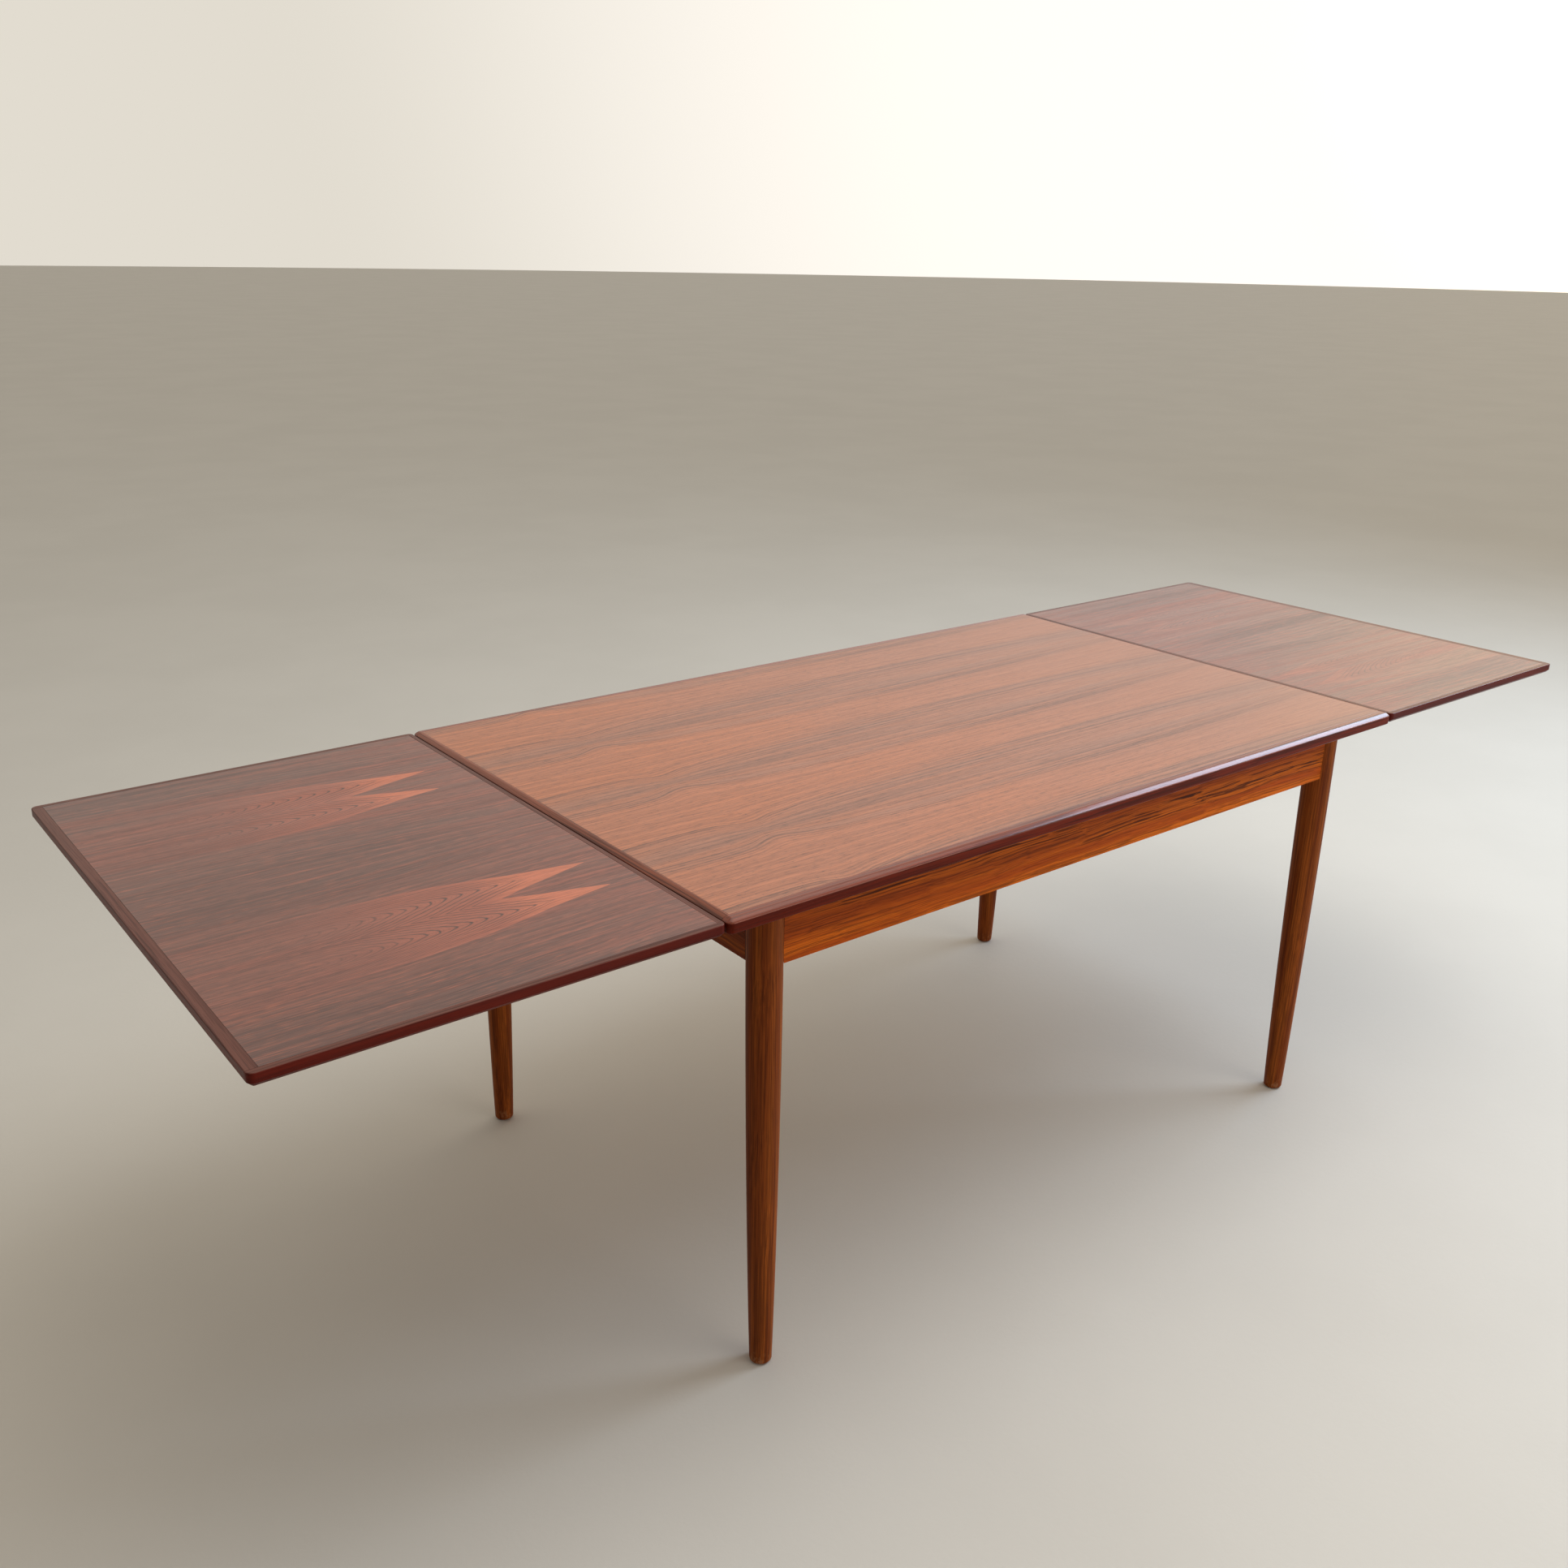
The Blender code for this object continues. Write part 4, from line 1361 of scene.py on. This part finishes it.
@dataclass
class Slides:
    """The two slides of a leaf, with their pegs and screws."""

    side: Side
    finishes: Finishes
    arris: float = 0.0008

    def build(self) -> None:
        """Makes or dresses each piece."""
        body = f"{self.side.name.lower()}_leaf"
        for edge in Edge:
            end = edge.name.lower()
            dress_node(f"{body}_slide_{end}", self.finishes.beech[Axis.X], self.arris)
            report(Pin(f"{body}_stop_peg_{end}", body, Axis.Y, self.finishes.beech[Axis.Y]).build())
            for number in (1, 2, 3):
                report(Screw(f"{body}_screw_{end}_{number}", body, self.finishes.steel).build())


def dress_node(node: str, material: bpy.types.Material, arris: float) -> None:
    """Keeps a node of the frame, with eased arrises and its finish.

    Args:
        node: the node.
        material: its finish.
        arris: how far its edges are eased.
    """
    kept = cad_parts[node]
    kept.data.materials.clear()
    kept.data.materials.append(material)
    Shaper.soften(kept, arris)
    report(kept)


def report(piece: bpy.types.Object) -> None:
    """Says that a piece is done."""
    LOG.info("%s: %d faces", piece.name, len(piece.data.polygons))


# ------------------------------------------------------------------------------------------- studio
@dataclass(frozen=True)
class Softbox:
    """A large soft lamp."""

    name: str
    place: Way
    aim: Way
    size: tuple[float, float]
    power: float
    colour: Colour

    def build(self) -> None:
        """Hangs the lamp."""
        lamp = bpy.data.lights.new(self.name, "AREA")
        lamp.shape = "RECTANGLE"
        lamp.size, lamp.size_y = self.size
        lamp.energy = self.power
        lamp.color = self.colour
        holder = bpy.data.objects.new(self.name, lamp)
        bpy.context.scene.collection.objects.link(holder)
        holder.location = self.place
        holder.rotation_mode = "QUATERNION"
        way = Vector(self.aim) - Vector(self.place)
        holder.rotation_quaternion = way.to_track_quat("-Z", "Y")


@dataclass(frozen=True)
class Glow:
    """A part of the sky: which way it lies, how near that way it begins and ends, its colour."""

    way: Way
    low: float
    high: float
    colour: Colour


@dataclass
class Studio:
    """Floor, lamps, sky and camera."""

    place: Way = (-1.6494, -1.6949, 1.4945)
    heading: float = 0.6592
    dip: float = 0.35874
    roll: float = 0.01724
    lens: float = 33.857
    shift: tuple[float, float] = (0.0155, 0.0018)
    sensor: float = 36.0
    floor_reach: float = 60.0
    dim: Colour = (0.27, 0.265, 0.26)
    glows: tuple[Glow, ...] = (
        Glow((0.25, 0.93, 0.25), -0.25, 0.55, tint(226, 220, 208)),
        Glow((0.90, 0.40, 0.15), 0.70, 0.99, (1.12, 1.06, 0.98)),
        Glow((0.93, 0.32, 0.18), 0.955, 0.998, (1.90, 1.60, 1.15)))
    lamps: tuple[Softbox, ...] = (
        Softbox("window", (4.0, -1.0, 3.15), (0.2, -0.4, 0.7), (2.6, 2.0), 180.0,
                (0.64, 0.79, 1.0)),
        Softbox("overhead", (0.3, -0.5, 3.8), (0.0, 0.0, 0.7), (3.4, 2.6), 50.0,
                (1.0, 0.96, 0.90)),
        Softbox("fill", (1.2, -3.7, 1.1), (-0.2, -0.3, 0.6), (2.6, 1.6), 50.0,
                (1.0, 0.95, 0.88)))

    def build(self) -> None:
        """Sets everything up round the table."""
        self.lay_floor()
        self.hang_lamps()
        self.light_sky()
        self.set_camera()

    def lay_floor(self) -> None:
        """A wide disc under the feet."""
        bm = bmesh.new()
        bmesh.ops.create_circle(bm, cap_ends=True, segments=96, radius=self.floor_reach)
        mesh = Shaper.close(bm, "studio_floor")
        floor = Shaper.put("studio_floor", mesh, FloorPaint().make("floor_paint"))
        floor.location.z = -FLOOR_DROP

    def hang_lamps(self) -> None:
        """A cool window on the right, a broad lamp overhead and a fill in front."""
        for lamp in self.lamps:
            lamp.build()

    def light_sky(self) -> None:
        """A surround: pale behind the table, brighter towards the right, and dim in front."""
        world = bpy.data.worlds.new("studio_surround")
        bpy.context.scene.world = world
        world.use_nodes = True
        tree = world.node_tree
        tree.nodes.clear()
        output = tree.nodes.new("ShaderNodeOutputWorld")
        back = tree.nodes.new("ShaderNodeBackground")
        tree.links.new(back.outputs[0], output.inputs["Surface"])
        place = tree.nodes.new("ShaderNodeTexCoord")

        def towards(glow: Glow) -> bpy.types.NodeSocket:
            """How much a direction of the sky lies in a glow.

            Args:
                glow: the glow.

            Returns:
                The share, from 0 to 1.
            """
            dot = tree.nodes.new("ShaderNodeVectorMath")
            dot.operation = "DOT_PRODUCT"
            dot.inputs[1].default_value = Vector(glow.way).normalized()
            tree.links.new(place.outputs["Generated"], dot.inputs[0])
            reach = tree.nodes.new("ShaderNodeMapRange")
            reach.interpolation_type = "SMOOTHSTEP"
            reach.inputs["From Min"].default_value = glow.low
            reach.inputs["From Max"].default_value = glow.high
            tree.links.new(dot.outputs["Value"], reach.inputs["Value"])
            return reach.outputs["Result"]

        def blend(share: bpy.types.NodeSocket, first: Paint, second: Colour) -> Paint:
            """Mixes two colours of the sky.

            Args:
                share: how much of the second shows.
                first: the colour at 0.
                second: the colour at 1.

            Returns:
                The mixed colour.
            """
            mix = tree.nodes.new("ShaderNodeMix")
            mix.data_type = "RGBA"
            tree.links.new(share, mix.inputs[0])
            if isinstance(first, tuple):
                mix.inputs[6].default_value = (*first, 1.0)
            else:
                tree.links.new(first, mix.inputs[6])
            mix.inputs[7].default_value = (*second, 1.0)
            return mix.outputs[2]

        colour: Paint = self.dim
        for glow in self.glows:
            colour = blend(towards(glow), colour, glow.colour)
        tree.links.new(colour, back.inputs["Color"])
        back.inputs["Strength"].default_value = 1.0

    def set_camera(self) -> None:
        """Stands the camera in front of the left half of the table, looking down along it."""
        ahead = Vector((math.sin(self.heading) * math.cos(self.dip),
                        math.cos(self.heading) * math.cos(self.dip), -math.sin(self.dip)))
        right = Vector((math.cos(self.heading), -math.sin(self.heading), 0.0))
        up = right.cross(ahead)
        right, up = (right * math.cos(self.roll) + up * math.sin(self.roll),
                     up * math.cos(self.roll) - right * math.sin(self.roll))
        data = bpy.data.cameras.new("camera")
        data.sensor_width = self.sensor
        data.lens = self.lens
        data.shift_x, data.shift_y = self.shift
        data.clip_start, data.clip_end = 0.05, 200.0
        camera = bpy.data.objects.new("camera", data)
        bpy.context.scene.collection.objects.link(camera)
        camera.matrix_world = Matrix((
            (right.x, up.x, -ahead.x, self.place[0]),
            (right.y, up.y, -ahead.y, self.place[1]),
            (right.z, up.z, -ahead.z, self.place[2]),
            (0.0, 0.0, 0.0, 1.0)))
        bpy.context.scene.camera = camera
        bpy.context.scene.view_settings.view_transform = "Standard"


def main() -> None:
    """Builds the table's looks in order, and the studio round it."""
    logging.basicConfig(level=logging.INFO, format="%(message)s")
    finishes = Finishes()
    centre = Top("top", "centre_top", finishes.top, finishes.top_lipping, "top_veneer",
                 upper=Easing(width=0.008, height=0.005, steps=10, roundness=0.34),
                 lower=Easing(width=0.003, height=0.003, steps=5))
    for piece in centre.build():
        report(piece)
    for edge in Edge:
        node = f"guide_dowel_{edge.name.lower()}"
        report(Pin(node, "centre_top", Axis.Z, finishes.beech[Axis.Z]).build())
    for side in Side:
        body = f"{side.name.lower()}_leaf"
        leaf = Top(body, body, finishes.leaf, finishes.leaf_lipping, "leaf_veneer",
                   upper=Easing(width=0.0015, height=0.0015, steps=5),
                   lower=Easing(width=0.0055, height=0.0055, steps=1), corner=0.0081)
        for piece in leaf.build():
            report(piece)
        Slides(side, finishes).build()
    Underframe(finishes).build()
    Studio().build()


if __name__ == "__main__":
    main()
